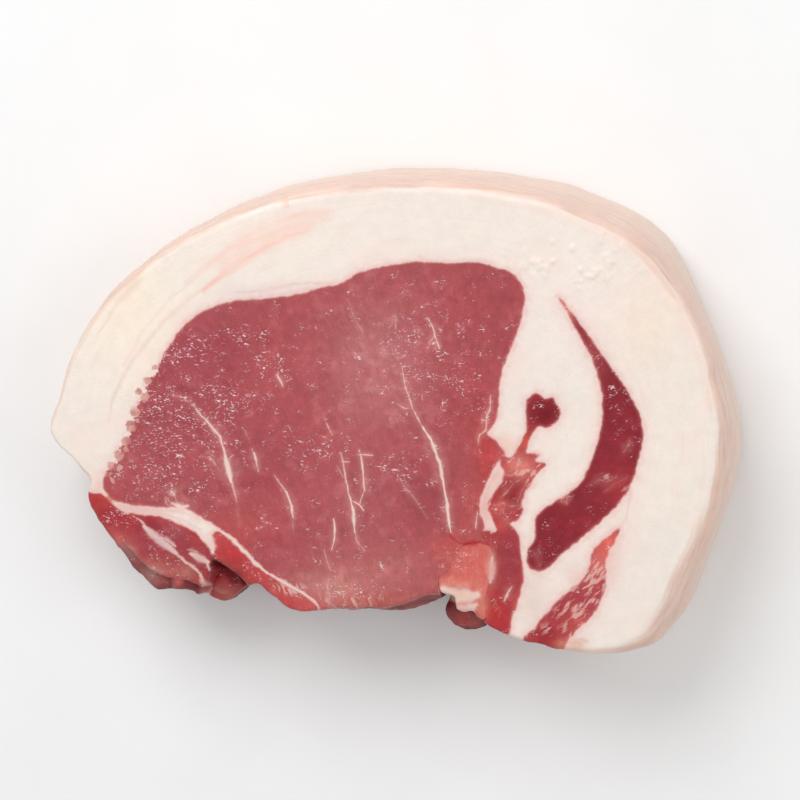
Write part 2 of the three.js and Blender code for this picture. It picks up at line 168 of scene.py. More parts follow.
LOOSE_TAG = points_of(
    11.2, -36.2, 9.9, -37.1, 9.7, -39.7, 10.7, -40.9, 12.7, -41.8, 13.2, -43.2, 13.4, -44.4,
    15.6, -44.9, 17.3, -44.7, 18.5, -46.1, 19.9, -46.2, 19.9, -42, 20.6, -38.8, 21.8, -34, 21, -30.2,
    18.4, -29.3, 14.8, -30.3, 13.2, -32.5, 11.9, -35.2,
)
# The hollow in the flap, and the brown-red lump in it.
HOLLOW = points_of(
    -41.4, -34.2, -38.2, -35.6, -34.4, -38.4, -32.2, -41, -31, -47, -38, -50, -46, -48, -45.6, -42.6,
    -42.8, -39.4, -41.8, -36.6,
)
FLAP_LUMP = points_of(
    -40.8, -36.6, -37.6, -38.4, -35.8, -41.6, -37, -44.4, -40.6, -45.6, -43.8, -44.4, -44.6, -41.4,
    -43, -38.4,
)

# The muscles in the order in which they take their share of the face; what is left is fat.
MUSCLES = {
    "loin_eye": LOIN_EYE,
    "inner_muscle": INNER_MUSCLE,
    "crescent_muscle": CRESCENT,
    "streaky_muscle": STREAKY_MUSCLE,
    "edge_strip": EDGE_STRIP,
    "flap_outer": FLAP_OUTER,
    "flap_inner": FLAP_INNER,
}
# Slant of the fibres: a fan over x, but one slope in the muscles right of the eye, which are
# named by their place in that order.
FAN_X, FAN_SLANT = (-60, -40, 6, 20), (0.6, 0.46, 0.26, 0.0)
RIGHT_HAND, RIGHT_HAND_SLANT = (1, 2, 3), -0.75

# Strokes: half-width, strength, then x, y of each point. First threads of white marbling.
VEINS = [
    (0.45, 0.75, 1.6, 9, 2.3, 5, 3.9, 0.4, 5.6, -3, 6.7, -4.6),
    (0.75, 1, 6.2, -3.8, 7.9, -6.5, 9, -9.2, 9.8, -11.5, 10.4, -14.9, 10.9, -18),
    (0.62, 0.95, 10.4, -15, 11.5, -21, 11.9, -24.1, 12.3, -27.1),
    (0.4, 0.7, 3.9, 0.4, 2.3, 0.2, 0.6, 1.2), (0.3, 0.6, 7.4, -5.6, 9.2, -6.2),
    (0.35, 0.55, 0, 20.5, 0.2, 17.8), (0.5, 0.8, 7.3, 20.1, 8.7, 17.4, 8.8, 16.3, 9.8, 13.6),
    (0.34, 0.7, 8.8, 16.3, 7.5, 14.9),
    (0.5, 0.85, -8, -9.4, -7.6, -10.7, -7.2, -14.1, -6.8, -18, -7.4, -19.5, -7.8, -21),
    (0.38, 0.8, -8.2, -10.3, -5.1, -10.3),
    (0.45, 0.75, -12, -10.1, -11.6, -11.9, -11.2, -14.1, -10.9, -16.4, -10.1, -19.5),
    (0.62, 0.95, -10.6, -17.5, -9.9, -20.4, -9.2, -23.5, -9.1, -27.5),
    (0.5, 0.6, -9.1, -26, -8.6, -29.4, -7, -31.7), (0.3, 0.6, -12.8, -13, -11.6, -15.3),
    (0.5, 0.85, -9.9, -20.4, -8, -21.4, -7, -22.7), (0.34, 0.7, -12, -11.9, -10.1, -11.9),
    (0.45, 0.9, -13.7, -24.7, -13.4, -26.8, -13.5, -29, -14.1, -31.5),
    (0.42, 0.7, -26.9, -15.3, -25.2, -17.6, -23.6, -20),
    (0.6, 0.9, -24.2, -18.8, -23.1, -21.8, -22.7, -24.5), (0.3, 0.5, -22.7, -24.5, -22.7, -28),
    (0.36, 0.6, -15.8, -31.7, -15.3, -34, -14.5, -36.1, -13.4, -36.4),
    (0.36, 0.6, -14.9, -38.2, -15.6, -42.8),
    (0.55, 0.85, -45.2, 0.1, -43.4, -2.2, -40.6, -5, -38.9, -7.1, -38.2, -10.1),
    (0.42, 0.5, -50.5, 2.2, -47.6, 1.7, -45.2, 0.1), (0.8, 0.6, -41.4, -4, -39.4, -6.6, -38.4, -9.2),
    (1.3, 1, -37.9, -11.2, -37.3, -13.6, -37, -15.6, -36.6, -17), (0.6, 0.8, -38.2, -9.4, -37.8, -12),
    (0.45, 0.7, -36.6, -16.4, -35.9, -19.2, -35.4, -21.3),
    (0.36, 0.35, -35.4, -21.3, -35, -24.4, -34.8, -27),
    (0.34, 0.4, -39.4, -12, -41.8, -10.6, -43.4, -11.2), (0.36, 0.7, -37.3, -12, -36.1, -11),
    (0.36, 0.6, -43, -11.4, -40.9, -12.1, -39.5, -14.2),
    (0.5, 0.8, -31.9, -9.6, -31.3, -11, -30.9, -12.4, -30.5, -14.4),
    (0.75, 0.85, -31.4, -10.4, -31, -12.2), (0.34, 0.5, -33.4, -5.6, -32.4, -8.2),
    (0.34, 0.5, -10.5, 23.9, -9.3, 20.5, -7.4, 17.4, -7, 15.9), (0.55, 0.8, -26.3, 7, -25, 4.5),
    (0.36, 0.7, -15.3, -3.5, -14, -6), (0.34, 0.5, 0.6, -14.5, 1.8, -16.8, 4.4, -19.9, 7, -24),
    (0.5, 0.72, 21.1, 3.5, 20.9, 0.4, 20.1, -1.1, 20.1, -4.2, 18.6, -5.2, 18.4, -6.9),
    (0.42, 0.75, 18.2, -22.5, 17.8, -26), (0.36, 0.6, 18.2, -22.5, 20, -24.5),
    (0.6, 0.34, 43.2, -15.6, 45, -14.4, 46.6, -15, 48.8, -13.8),
    (0.4, 0.3, 46, -17, 48, -15.6, 51.4, -13.6), (0.6, 0.4, 50.2, -8.4, 51.6, -5.8),
    (0.5, 0.5, 37.9, -20, 37.8, -18.4, 36.8, -17.2), (0.4, 0.3, 29.8, -31.4, 31.6, -32, 31.9, -34.2),
    (0.4, 0.3, 31.6, -32, 32, -29.6), (1.5, 0.7, -50.2, -19.4, -49.4, -20.4),
    (1.6, 0.8, -50, -22.2, -48, -22.8, -46.4, -22.6), (0.5, 0.4, 24.5, -14, 27, -13.8, 29.4, -13),
    (0.5, 0.4, 28.6, -14.2, 26.4, -15.6, 24.8, -17.6, 23.2, -19.2),
    (0.5, 0.4, 29.2, -15.6, 27.8, -17.6, 27, -19.8),
    (0.6, 0.45, 21.8, -20.8, 23.8, -20.4, 25.6, -20.9, 27.8, -20.6),
    (0.5, 0.4, 24.2, -20.6, 24, -22.4, 25.2, -24),
    (0.5, 0.35, 21.4, -21.6, 22.8, -22.6, 25, -24.4, 27.6, -24.2),
    (0.5, 0.75, 25.9, -38.8, 24.9, -40.3, 24.2, -42), (1.3, 0.6, 27.4, -10.4, 27, -12),
]
# White seams between muscles.
SEAMS = [
    (0.7, 0.9, -16.5, -45, -18.5, -42.9, -22.3, -40.5, -26, -38.7, -29.6, -36.5),
    (0.85, 1, -28.6, -37.1, -31.5, -34.9, -33, -33, -36.4, -29.8, -39, -28, -41, -27.2),
    (1.9, 1, -42.6, -27.4, -41.7, -29.2, -41.2, -31.5, -40.9, -33),
    (0.5, 0.8, -58.9, -25.3, -56.8, -26.6, -55.4, -28.3, -53.6, -30.4),
    (2, 1, -56.4, -27.6, -54, -29.9, -51.7, -31.8, -49.4, -33.6),
    (0.9, 0.85, -50, -33.2, -46.9, -35.7, -44.8, -37.6, -43.5, -39.2),
    (1.5, 0.8, -44.2, -38.6, -43.5, -40.2, -43, -42.8), (1.7, 1, -46, -33.6, -44, -34.6, -42, -35.2),
    (1.3, 0.75, -52.6, -30, -51, -30.8, -49.4, -32), (1, 0.6, -46.6, -32.6, -44.4, -33),
    (1, 0.8, -42.4, -35.4, -41.8, -37.2), (1.7, 1, 21.2, -26, 22, -26.4),
    (1.5, 0.8, 21.5, -32.4, 21.7, -34.6, 21, -38),
    (3.7, 1, 10.8, -39.8, 12.4, -40.6, 14.6, -41.1, 16.8, -41.2, 18.2, -40.8),
    (2.4, 0.85, 13, -44, 15.6, -43.8, 18, -43),
]
# Folds in the flap and gaps in the hollow, both with painted shade, deep red creases, and thin tan lines
# and pink stains in the fat.
FLAP_FOLDS = [
    (1.7, 1, -49.4, -41, -46.8, -41.7, -44.2, -42.9),
    (1.3, 0.5, -61.6, -32.6, -58.4, -36.4, -54.6, -39.4, -50.6, -40.2),
]
PAINTED_SHADE_GAPS = [
    (1.5, 0.9, -41, -35.4, -40.2, -36.6, -39.4, -37.4), (1.6, 0.8, -38, -37.8, -35.6, -38.8, -34, -40),
    (0.9, 0.9, -37.6, -43.7, -36.4, -44),
]
CREASES = [
    (0.9, 1, 15.2, -29.7, 16.8, -29.3, 18.6, -29.1),
    (0.5, 0.7, 12.3, -26.6, 12.1, -27.9, 14, -29.4, 15.4, -29.6),
    (0.7, 0.7, -61.5, -23.7, -56, -25.2, -51, -25.7, -47, -27.6, -43.6, -29.6),
]
FAT_LINES = [
    (0.8, 0.42, -39.8, 27.7, -45.9, 23.3, -52, 17.9, -58.8, 9.3, -63, 1.2, -64, -4.3),
    (0.7, 0.26, -45, 27.6, -50.6, 23, -56.2, 16, -60.6, 8.6),
    (1, 0.34, -66.4, 15, -61.6, 22.6, -54.4, 30.4, -45.6, 36.6),
    (0.5, 0.5, 49.6, -24.6, 50.8, -23.2, 51.4, -20.4, 52, -16),
    (0.6, 0.5, -14, 27.6, -21, 27.4, -29, 25.7, -35, 25.2),
    (0.5, 0.6, -62.4, -22.6, -58.4, -24.1, -52, -24.7, -47.6, -25.8, -43.6, -27.9),
    (0.4, 0.5, -60, -22.8, -55, -23.6, -50, -23.8, -46, -24.6),
    (0.6, 0.8, 24, -11.4, 22, -14.2, 20.3, -17.6, 19.7, -21, 20.2, -24.4),
    (0.9, 0.9, 38.2, -50.9, 39.6, -50.9, 41.4, -51.3), (1, 0.7, 41, -50, 42.6, -50.6),
]
STAINS = [
    (1.5, 0.9, -42.4, 25.2, -39.8, 27.7, -34.3, 31.6, -28.2, 35.4, -24.5, 37.2, -19, 39.4),
    (4.6, 0.62, -38.4, 31.6, -30, 37, -22.4, 40, -15, 42.6),
    (2.2, 0.6, -37.4, 34.6, -27.5, 40.1, -19.7, 43.2), (1.2, 0.6, -46.6, 27, -40.4, 31.8, -34.6, 36),
    (0.9, 0.9, -24.2, 44.2, -23.4, 44.3), (0.7, 0.7, -27, 44.3, -26, 44.5),
    (0.8, 0.8, 49.6, 40.4, 50.6, 40.2), (0.7, 0.9, 53.8, 36.3, 54.4, 36.2),
    (0.7, 0.8, 67.8, 14.8, 68.2, 14.2), (0.7, 0.5, 25.1, -5.6, 25.3, -5.4),
    (0.7, 0.6, 24.4, -7.9, 24.7, -7.7), (0.6, 0.7, 23.2, -15.1, 23.5, -14.8),
    (0.6, 0.6, 21, -17.1, 21.2, -16.9), (4, 0.35, 22, -7, 26, -8),
    (2.6, 0.34, 8, 48.6, 26, 46.6, 40, 42.8, 52, 36, 60, 27.6, 66, 15, 69, 2),
]
# Where lean and fat run through each other: x, y, radius across, radius along, weight.
NETS = [
    (43.6, -36.2, 3, 2.8, 2), (45.4, -33, 2, 1.8, 0.5), (40.6, -38.6, 3, 1.6, 1.2),
    (39.6, -43.6, 4.5, 3.6, 0.5), (40, -48, 2.6, 2, 0.9), (43.6, -43.4, 2, 3.4, 0.6),
    (34, -48, 2.6, 1.6, 0.35), (27, -11.4, 2.2, 1.3, 0.6), (32.8, -11.6, 1.8, 1.2, 0.9),
    (30.4, -15.4, 1.3, 2.4, 0.8), (28.4, -13.2, 3, 0.8, 0.7), (23.4, -15.2, 1.2, 1.4, 0.7),
    (28.4, -20.6, 1.2, 1.6, 0.8), (24.4, -22.6, 2.4, 1.2, 0.35), (21, -20.4, 1, 2.2, 0.6),
    (25.8, -25, 1.6, 0.9, 0.6), (44.4, 12, 1.8, 2.8, 0.5), (37.2, -18.2, 1.6, 1.2, 0.9),
    (51, -17.6, 1.4, 2.2, 0.4), (46.6, -13.8, 2.6, 0.9, 0.3), (-24, -40.6, 5, 1.4, 0.55),
    (-10, -42.6, 9, 2, 0.4), (-49.4, -21.4, 2.4, 1.7, 0.45), (-63.4, -16.6, 1.6, 2.6, 0.4),
    (22.4, -44, 1.2, 3, 0.25), (17, -33.4, 4.6, 4.2, 0.2),
]
# The lumpy fat at the upper right: the same, with the height of its lumps as the weight.
BUMPY_FAT = (40, 33, 12, 5, 0.5)
# The lace of fat along the eye's left side: x, y, radius.
LACE = [
    (-54.6, 8, 2.4), (-57.2, 3, 2.8), (-59.2, -2.4, 3.2), (-60.8, -7.6, 3.2), (-63, -12.4, 3),
]
# Round granules of flesh in that lace: x, y, radius.
GRANULES = [
    (-59.1, -5.1, 1.25), (-60.2, -8.4, 1.15), (-58, -1.7, 1.1), (-55.9, 1.6, 1.05), (-57.3, 2.7, 0.8),
    (-62, -11.6, 1.2), (-63.9, -13.9, 0.9), (-55.1, 5.2, 0.8), (-53.6, 8, 0.65), (-60.3, -10.6, 0.7),
    (-57.4, -3.7, 0.55), (-51.2, 11.4, 0.5), (-61.9, -14.4, 0.75),
]
# Clusters of wet glints: x, y, radius across, radius along, weight.
GLINTS = [
    (-50, -4, 13, 12, 1), (-38, 1, 8, 5, 1), (-47, 12, 8, 4, 1), (-34, 15, 6, 4, 0.9),
    (-52, -15, 10, 5, 1), (-62, -16, 2.6, 1.6, 1.3), (-54.6, -0.6, 1.6, 1.2, 1.4), (-28, 9, 7, 5, 0.8),
    (-18, -9, 8, 3, 0.8), (3, 12, 9, 11, 0.7), (14, 8, 8, 10, 0.7), (1, -13, 6, 3, 0.8),
    (-62.6, -25.4, 3.4, 2.2, 1.4), (-52, -36, 5, 4, 0.9), (-52, -31, 6, 3, 0.5), (14, -32.6, 2, 3, 1.2),
    (-30, -33, 3, 3, 0.6), (-14, -41, 8, 3, 0.8), (48, 3, 4, 8, 0.45), (14, -36, 3, 3, 0.5),
]
# Base colours in steps of 255.
BASE_COLORS = {
    "loin_eye": (174, 80, 85),
    "inner_muscle": (170, 56, 62),
    "crescent_muscle": (138, 32, 44),
    "streaky_muscle": (176, 66, 72),
    "edge_strip": (190, 70, 72),
    "flap_outer": (180, 64, 68),
    "flap_inner": (170, 66, 72),
    "under_lump": (172, 72, 70),
    "loose_tag": (214, 106, 98),
    "fat_cap": (244, 232, 222),
}
# Soft spots: x, y, radius across, radius along, weight, and the colour in steps of 255.
LEAN_SPOTS = [
    (-46, 2, 15, 18, 0.7, 164, 72, 80), (-43, 12, 8, 5, 0.5, 152, 58, 72),
    (-30, -12, 7, 10, 0.4, 160, 66, 76), (-28, 4, 9, 9, 0.4, 182, 84, 86),
    (-4, 10, 11, 15, 0.85, 190, 114, 114), (-8, -22, 12, 11, 0.6, 174, 90, 94),
    (6, -20, 5, 8, 0.6, 164, 70, 76), (20, 22, 10, 11, 0.7, 164, 70, 74),
    (17, 2, 6, 11, 0.6, 176, 72, 76), (20.5, -10, 3, 8, 0.9, 192, 66, 66),
    (16, -22, 4, 6, 0.6, 186, 80, 78), (12, -31, 5, 3, 0.7, 200, 84, 80),
    (-14, -40, 9, 4.5, 0.9, 202, 130, 122), (-2, -36, 12, 6, 0.6, 188, 110, 106),
    (0, -43.5, 12, 1.6, 0.8, 186, 96, 86), (-33, -26, 8, 4, 0.6, 190, 84, 82),
    (-60, -17, 5, 4, 0.5, 186, 90, 88), (50, -16, 4, 6, 0.8, 168, 48, 56),
    (42, -25, 6, 2.4, 0.5, 160, 40, 50), (43, 12, 3, 6, 0.6, 176, 80, 84),
    (37.4, 23, 2, 3.4, 0.95, 230, 142, 128), (33, 0, 5, 4.4, 1, 120, 14, 26),
    (28.8, -6.5, 1.6, 2.2, 0.9, 206, 82, 72), (27.4, -12.2, 4, 2.6, 0.9, 224, 120, 108),
    (26, -17.6, 2.4, 3, 1, 148, 26, 38), (22.6, -21.6, 2.6, 2.2, 0.85, 200, 72, 68),
    (26.4, -22.6, 1.6, 1.4, 0.8, 176, 58, 64), (23.6, -25.4, 2.2, 1.6, 0.9, 206, 78, 72),
    (25.6, -33, 2.6, 7, 0.7, 158, 60, 70), (22.8, -45, 2.6, 4.5, 0.9, 186, 44, 46),
    (19.2, -44.2, 1, 2.2, 0.9, 214, 110, 100), (27.2, -44, 1.2, 4, 0.7, 206, 92, 86),
    (47, -28.6, 3, 3, 0.95, 230, 108, 94), (44.6, -33.6, 3, 3, 0.8, 222, 118, 106),
    (43, -38, 4, 3, 0.6, 196, 86, 88), (37, -44.6, 4.6, 3.6, 0.8, 168, 54, 62),
    (33.4, -49.4, 3, 2.4, 0.9, 160, 34, 42), (36.6, -18.6, 1.6, 1.2, 0.9, 192, 88, 86),
    (40.6, -40.2, 2.8, 1.8, 0.7, 174, 64, 72), (41, -47, 3, 3, 0.6, 212, 106, 96),
    (37.2, -51.4, 1.8, 1.2, 0.9, 210, 122, 100), (-66.6, -22, 3.4, 2.4, 0.8, 196, 62, 58),
    (-62, -26, 4.6, 2.8, 0.8, 174, 46, 54), (-56, -32, 6, 3.5, 0.7, 176, 72, 82),
    (-55, -37.6, 6, 2.2, 0.85, 198, 112, 102), (-63, -31.6, 2.4, 2.4, 0.7, 204, 108, 98),
    (-61, -35.4, 1.9, 2.6, 0.9, 208, 172, 158), (-57.6, -39.4, 3, 1.7, 0.95, 212, 190, 178),
    (-51.4, -41.2, 3.4, 1.3, 0.85, 158, 92, 84), (-46.8, -37.8, 2.4, 1.6, 0.9, 202, 124, 114),
    (-54, -27.6, 4, 1.6, 0.7, 152, 40, 50), (-50, -28.6, 2.6, 1.4, 0.7, 176, 88, 94),
    (-46, -31, 4, 2, 0.6, 164, 62, 72), (-44, -29.6, 2, 1.6, 0.7, 188, 66, 66),
    (-43.8, -37.4, 2.4, 2, 0.7, 160, 50, 60), (-36.6, -33.6, 3.4, 3.4, 0.85, 190, 50, 53),
    (-38.6, -29.8, 2.8, 2, 0.8, 190, 70, 74), (-33, -38.4, 3, 2, 0.8, 194, 70, 66),
    (-24, -43.4, 6, 2, 0.6, 196, 68, 68), (-38.4, -36, 1.6, 1.6, 0.9, 158, 76, 70),
    # Painted shade: the dark spots at (-40.5, -36), (-36, -39) and (-36.8, -43.8) in the hollow round the
    # lump.
    (-40.5, -36, 1.4, 1.4, 0.95, 128, 14, 22), (-40.6, -40, 3, 1.6, 0.9, 160, 40, 38),
    (-36, -39, 2.4, 2.4, 0.9, 112, 30, 32), (-39.4, -43.4, 3.4, 1.3, 0.9, 170, 86, 72),
    (-36.8, -43.8, 0.9, 0.7, 0.9, 92, 18, 22), (16.8, -34, 4, 4, 0.9, 212, 102, 93),
    (11.4, -34.4, 1.6, 3.6, 0.85, 190, 88, 86), (21.4, -34.5, 0.9, 3, 0.9, 228, 166, 150),
    (15, -38.4, 5, 0.9, 0.9, 222, 128, 110), (16, -43, 2.6, 0.8, 0.95, 222, 150, 124),
    # Painted shade: the dark spots at (-46.6, -41.6) in the gap below the flap, and at (12.6, -45.6) on the
    # lump under the tag's free edge.
    (-46.6, -41.6, 2.6, 1, 0.8, 112, 34, 36), (19.4, -42.6, 1.4, 2.6, 0.9, 206, 118, 102),
    (17.5, -48, 1.6, 1, 0.8, 170, 100, 94), (12.6, -45.6, 1.4, 1.6, 0.8, 114, 48, 52),
]
FAT_SPOTS = [
    (-58, 18, 12, 14, 0.9, 250, 236, 219), (-30, 38, 14, 6, 0.6, 252, 234, 222),
    (-60, 24, 5, 9, 0.5, 250, 230, 206), (30, 10, 8, 16, 0.6, 240, 231, 223),
    (42, 22, 10, 9, 0.7, 249, 232, 225), (62, -5, 9, 22, 0.7, 243, 230, 218),
    (55, 20, 7, 11, 0.6, 250, 228, 208), (60, -28, 8, 12, 0.6, 243, 232, 220),
    (51, -24, 4, 12, 0.5, 244, 224, 216), (-60, -5, 6, 10, 0.5, 247, 232, 222),
    (-25, 25.6, 12, 1.8, 0.8, 236, 219, 217), (-57.6, -23.4, 6, 1.6, 0.85, 222, 178, 176),
    (24, -8, 3, 3, 0.8, 242, 205, 192), (22, -14, 2.2, 5, 0.85, 236, 192, 180),
    (20, -21.4, 1.8, 3.6, 0.9, 228, 166, 156), (21.4, -26.4, 1.4, 1.4, 0.8, 238, 206, 192),
    (-53.4, -30.4, 4, 3, 0.95, 220, 184, 196), (14.4, -40.8, 5, 1.9, 0.95, 240, 206, 178),
    (15.4, -44.4, 3, 1.3, 0.95, 212, 166, 140), (21.5, -35, 1.2, 3, 0.95, 222, 146, 130),
    (-43.2, -41.4, 2, 3, 0.9, 206, 150, 134), (-44, -34.6, 2.6, 1.2, 0.9, 232, 188, 172),
    (47, -32, 3, 5, 0.7, 240, 198, 188), (40.5, -36, 3, 2.4, 0.6, 238, 198, 190),
    # Painted shade: the greyer spot at (61, -49) on the rounded lower right corner.
    (31, -42, 3, 8, 0.8, 232, 211, 202), (61, -49, 5, 5, 0.7, 218, 203, 187),
    (-66, -19, 3, 3, 0.6, 232, 206, 190), (40, -51, 2.4, 1.4, 0.8, 226, 180, 158),
]

rng = np.random.default_rng(7)


# ---- Noise and curves ----
def smooth(x, low, high):
    """0 below low, 1 above high, and a soft step between."""
    t = np.clip((x - low) / (high - low), 0, 1)
    return t * t * (3 - 2 * t)


def hashed(cells, seed):
    """A fixed number from 0 to 1 for each cell of a lattice."""
    h = (cells @ np.array([374761393, 668265263, 1442695041]) + seed * 1274126177) & 0xFFFFFFFF
    h = ((h ^ (h >> 13)) * 1274126177) & 0xFFFFFFFF
    return (h ^ (h >> 16)) / 0xFFFFFFFF


def noise(points, size, seed, octaves=2):
    """Smooth noise from -1 to 1; size is the cell's size, one number or one per axis."""
    if points.shape[1] == 2:
        points = np.column_stack([points, np.zeros(len(points))])
    total, weight, reach = 0.0, 1.0, 0.0
    points = points / np.asarray(size, float)
    for octave in range(octaves):
        base = np.floor(points).astype(np.int64)
        f = points - base
        f = f * f * (3 - 2 * f)
        value = 0.0
        for corner in np.ndindex(2, 2, 2):
            share = np.prod(np.where(corner, f, 1 - f), axis=1)
            value = value + share * hashed(base + corner, seed + octave)
        total = total + weight * (2 * value - 1)
        reach += weight
        weight *= 0.5
        points = points * 2.03 + 5.7
    return total / reach


def layered(points, layers):
    """The sum of several layers of noise."""
    return sum(height * noise(points, size, seed) for height, size, seed in layers)


def sway(points, size, seed):
    """Smooth shifts from -1 to 1 in x and in y."""
    return np.column_stack([noise(points, size, seed), noise(points, size, seed + 1)])


def respaced(points, step, closed):
    """Evenly spaced points on the line through the points."""
    if closed:
        points = np.vstack([points, points[:1]])
    length = np.concatenate([[0], np.cumsum(np.hypot(*np.diff(points[:, :2], axis=0).T))])
    count = max(3, round(length[-1] / step))
    places = np.linspace(0, length[-1], count + (not closed), endpoint=not closed)
    return np.column_stack([np.interp(places, length, column) for column in points.T])


def closed_curve(rows, step):
    """Evenly spaced rows, counter-clockwise, on a smooth closed curve; x and y come first."""
    p = np.array(rows, float)
    before, after, later = np.roll(p, 1, 0), np.roll(p, -1, 0), np.roll(p, -2, 0)

    def gap(a, b):
        return np.sqrt(np.hypot(*(b - a)[:, :2].T))[:, None]

    g0, g1, g2 = gap(before, p), gap(p, after), gap(after, later)
    leave = ((p - before) / g0 - (after - before) / (g0 + g1)) * g1 + (after - p)
    arrive = (after - p) - ((later - p) / (g1 + g2) - (later - after) / g2) * g1
    u = np.linspace(0, 1, CURVE_STEPS, endpoint=False)[None, :, None]
    p, after, leave, arrive = (a[:, None, :] for a in (p, after, leave, arrive))
    curve = (2 * u**3 - 3 * u**2 + 1) * p + (u**3 - 2 * u**2 + u) * leave
    curve = curve + (3 * u**2 - 2 * u**3) * after + (u**3 - u**2) * arrive
    curve = respaced(curve.reshape(-1, p.shape[-1]), step, True)
    x, y = curve[:, 0], curve[:, 1]
    turn = np.sum(x * np.roll(y, -1) - y * np.roll(x, -1))
    return curve if turn > 0 else curve[::-1]


def outward(points, spread=4):
    """Outward directions round a counter-clockwise loop, smoothed over a few neighbours."""
    along = np.roll(points[:, :2], -1, 0) - np.roll(points[:, :2], 1, 0)
    normal = np.column_stack([along[:, 1], -along[:, 0]])
    normal = sum(np.roll(normal, k, 0) for k in range(-spread, spread + 1))
    return normal / np.hypot(*normal.T)[:, None]


def nearest(xy, samples):
    """Index of, and distance to, the nearest of the samples."""
    tree = KDTree(len(samples))
    for i, (x, y) in enumerate(samples[:, :2]):
        tree.insert((x, y, 0), i)
    tree.balance()
    found = [tree.find((x, y, 0)) for x, y in xy[:, :2]]
    return np.array([f[1] for f in found], int), np.array([f[2] for f in found])


def inside(xy, starts, ends):
    """Whether points lie inside the loops that the edges from starts to ends form."""
    odd = np.zeros(len(xy), bool)
    x, y = xy[:, 0], xy[:, 1]
    for (x0, y0), (x1, y1) in zip(starts, ends):
        if y0 != y1:
            odd ^= ((y0 > y) != (y1 > y)) & (x < (x1 - x0) * (y - y0) / (y1 - y0) + x0)
    return odd


def close_to(xy, line, reach):
    """Whether points lie in the line's box or within reach of it."""
    return np.all((xy > line.min(0) - reach) & (xy < line.max(0) + reach), axis=1)


def depth_inside(xy, outline):
    """Signed distance to a small outline, positive inside; far points just say far outside."""
    loop = closed_curve(outline, 0.3)
    close = close_to(xy, loop, 3)
    result = np.full(len(xy), -FAR)
    if close.any():
        part = xy[close]
        _, distance = nearest(part, loop)
        result[close] = np.where(inside(part, loop, np.roll(loop, -1, 0)), distance, -distance)
    return result


# ---- Strokes and soft spots on the face ----
def stroke_path(width, run, step):
    """Points along a stroke that wavers a little; its ends stay where they are."""
    path = respaced(points_of(*run), step, False)
    fade = np.minimum(1, np.minimum(np.arange(len(path)), np.arange(len(path))[::-1]) * step / STROKE_STILL)
    return path + sway(path, 1.7, 41) * (STROKE_SWAY * min(1, width) * fade)[:, None]


def stroke_field(xy, strokes):
    """Strength at the middle of the nearest stroke, falling off evenly to nothing at its sides."""
    field = np.zeros(len(xy))
    for width, strength, *run in strokes:
        path = stroke_path(width, run, STROKE_STEP)
        close = np.flatnonzero(close_to(xy, path, 1.5 * width))
        if not len(close):
            continue
        span = xy[close][:, None, :] - path[None]
        distance = np.hypot(span[..., 0], span[..., 1])
        k = distance.argmin(1)
        distance = distance[np.arange(len(close)), k]
        end = np.minimum(k, len(path) - 1 - k) / (0.5 * len(path))
        knots = 1 + layered(path, STROKE_KNOTS) * (width < KNOTTED_WIDTH)
        local = width * (0.5 + 0.5 * smooth(end, 0, 0.6)) * knots[k]
        field[close] = np.maximum(field[close], strength * (1 - distance / local).clip(0))
    return field


def stroke_points(strokes):
    """Extra face points along and beside the strokes, so that they come out sharp."""
    rows = []
    for width, _, *run in strokes:
        path = stroke_path(width, run, STROKE_POINT_STEP)
        direction = np.gradient(path, axis=0)
        side = np.column_stack([direction[:, 1], -direction[:, 0]]) / np.hypot(*direction.T)[:, None]
        for offset in STROKE_SIDES:
            rows.append(path + side * offset * width)
    return np.vstack(rows)


def spot_share(xy, x, y, across, along, weight):
    """The weight in the middle of a soft oval spot, less and less round it."""
    return weight * np.exp(-(((xy[:, 0] - x) / across) ** 2) - ((xy[:, 1] - y) / along) ** 2)


def spot_field(xy, spots):
    """The largest share of any of the spots at each point."""
    return np.max([spot_share(xy, *spot) for spot in spots], axis=0)


def granule_field(xy):
    """1.3 in the middle of a granule, 0.3 at its wavering side and never below -1."""
    bent = xy + 0.5 * sway(xy, 1.4, 51)
    fields = [1.3 - np.hypot(*(bent - (x, y)).T) / radius for x, y, radius in GRANULES]
    return np.maximum(-1, np.max(fields, axis=0))


# ---- The form of the face ----
def relief(xy):
    """Height above the mean face: waves, and the sagging flap with its folds, hollow and lump."""
    x, y = xy[:, 0], xy[:, 1]
    height = WAVE_HEIGHT * np.sin(x / 12 + 0.6) * np.cos(y / 10 - 0.4)
    below_seam = FLAP_SEAM_Y + FLAP_SEAM_SLOPE * (x - FLAP_SEAM_X) - y
    sag = smooth(below_seam, 0, FLAP_DROOP_WIDTH) * (1 - smooth(x, FLAP_FULL_X, FLAP_END_X))
    height = height - FLAP_DROOP * sag
    pit = -HOLLOW_DEPTH * smooth(depth_inside(xy, HOLLOW), 0, HOLLOW_SLOPE)
    in_lump = depth_inside(xy, FLAP_LUMP)
    lump = -LUMP_DROP - LUMP_CROWN * (1 - smooth(in_lump, 0, 3))
    lump = lump + LUMP_STEEPNESS * np.minimum(in_lump, 0)
    folded = FOLD_DEPTH * smooth(stroke_field(xy, FLAP_FOLDS), 0, 0.9)
    return height + np.maximum(pit, lump) - folded


def lump_lift(xy):
    """Height of the lump under the tag above its own edge."""
    return UNDER_LUMP_RISE * smooth(depth_inside(xy, UNDER_LUMP), 2, 6)


def tag_lift(xy):
    """Height of the tag above the mean face."""
    return TAG_RISE * smooth(depth_inside(xy, LOOSE_TAG), 0.5, 4) + relief(xy)


def fibre_lines(xy, label):
    """Number of the fibre line through each point: a fan, or one slope in the right-hand muscles."""
    fan = np.interp(xy[:, 0], FAN_X, FAN_SLANT)
    slant = np.where(np.isin(label, RIGHT_HAND), RIGHT_HAND_SLANT, fan)
    return xy[:, 0] + slant * xy[:, 1]


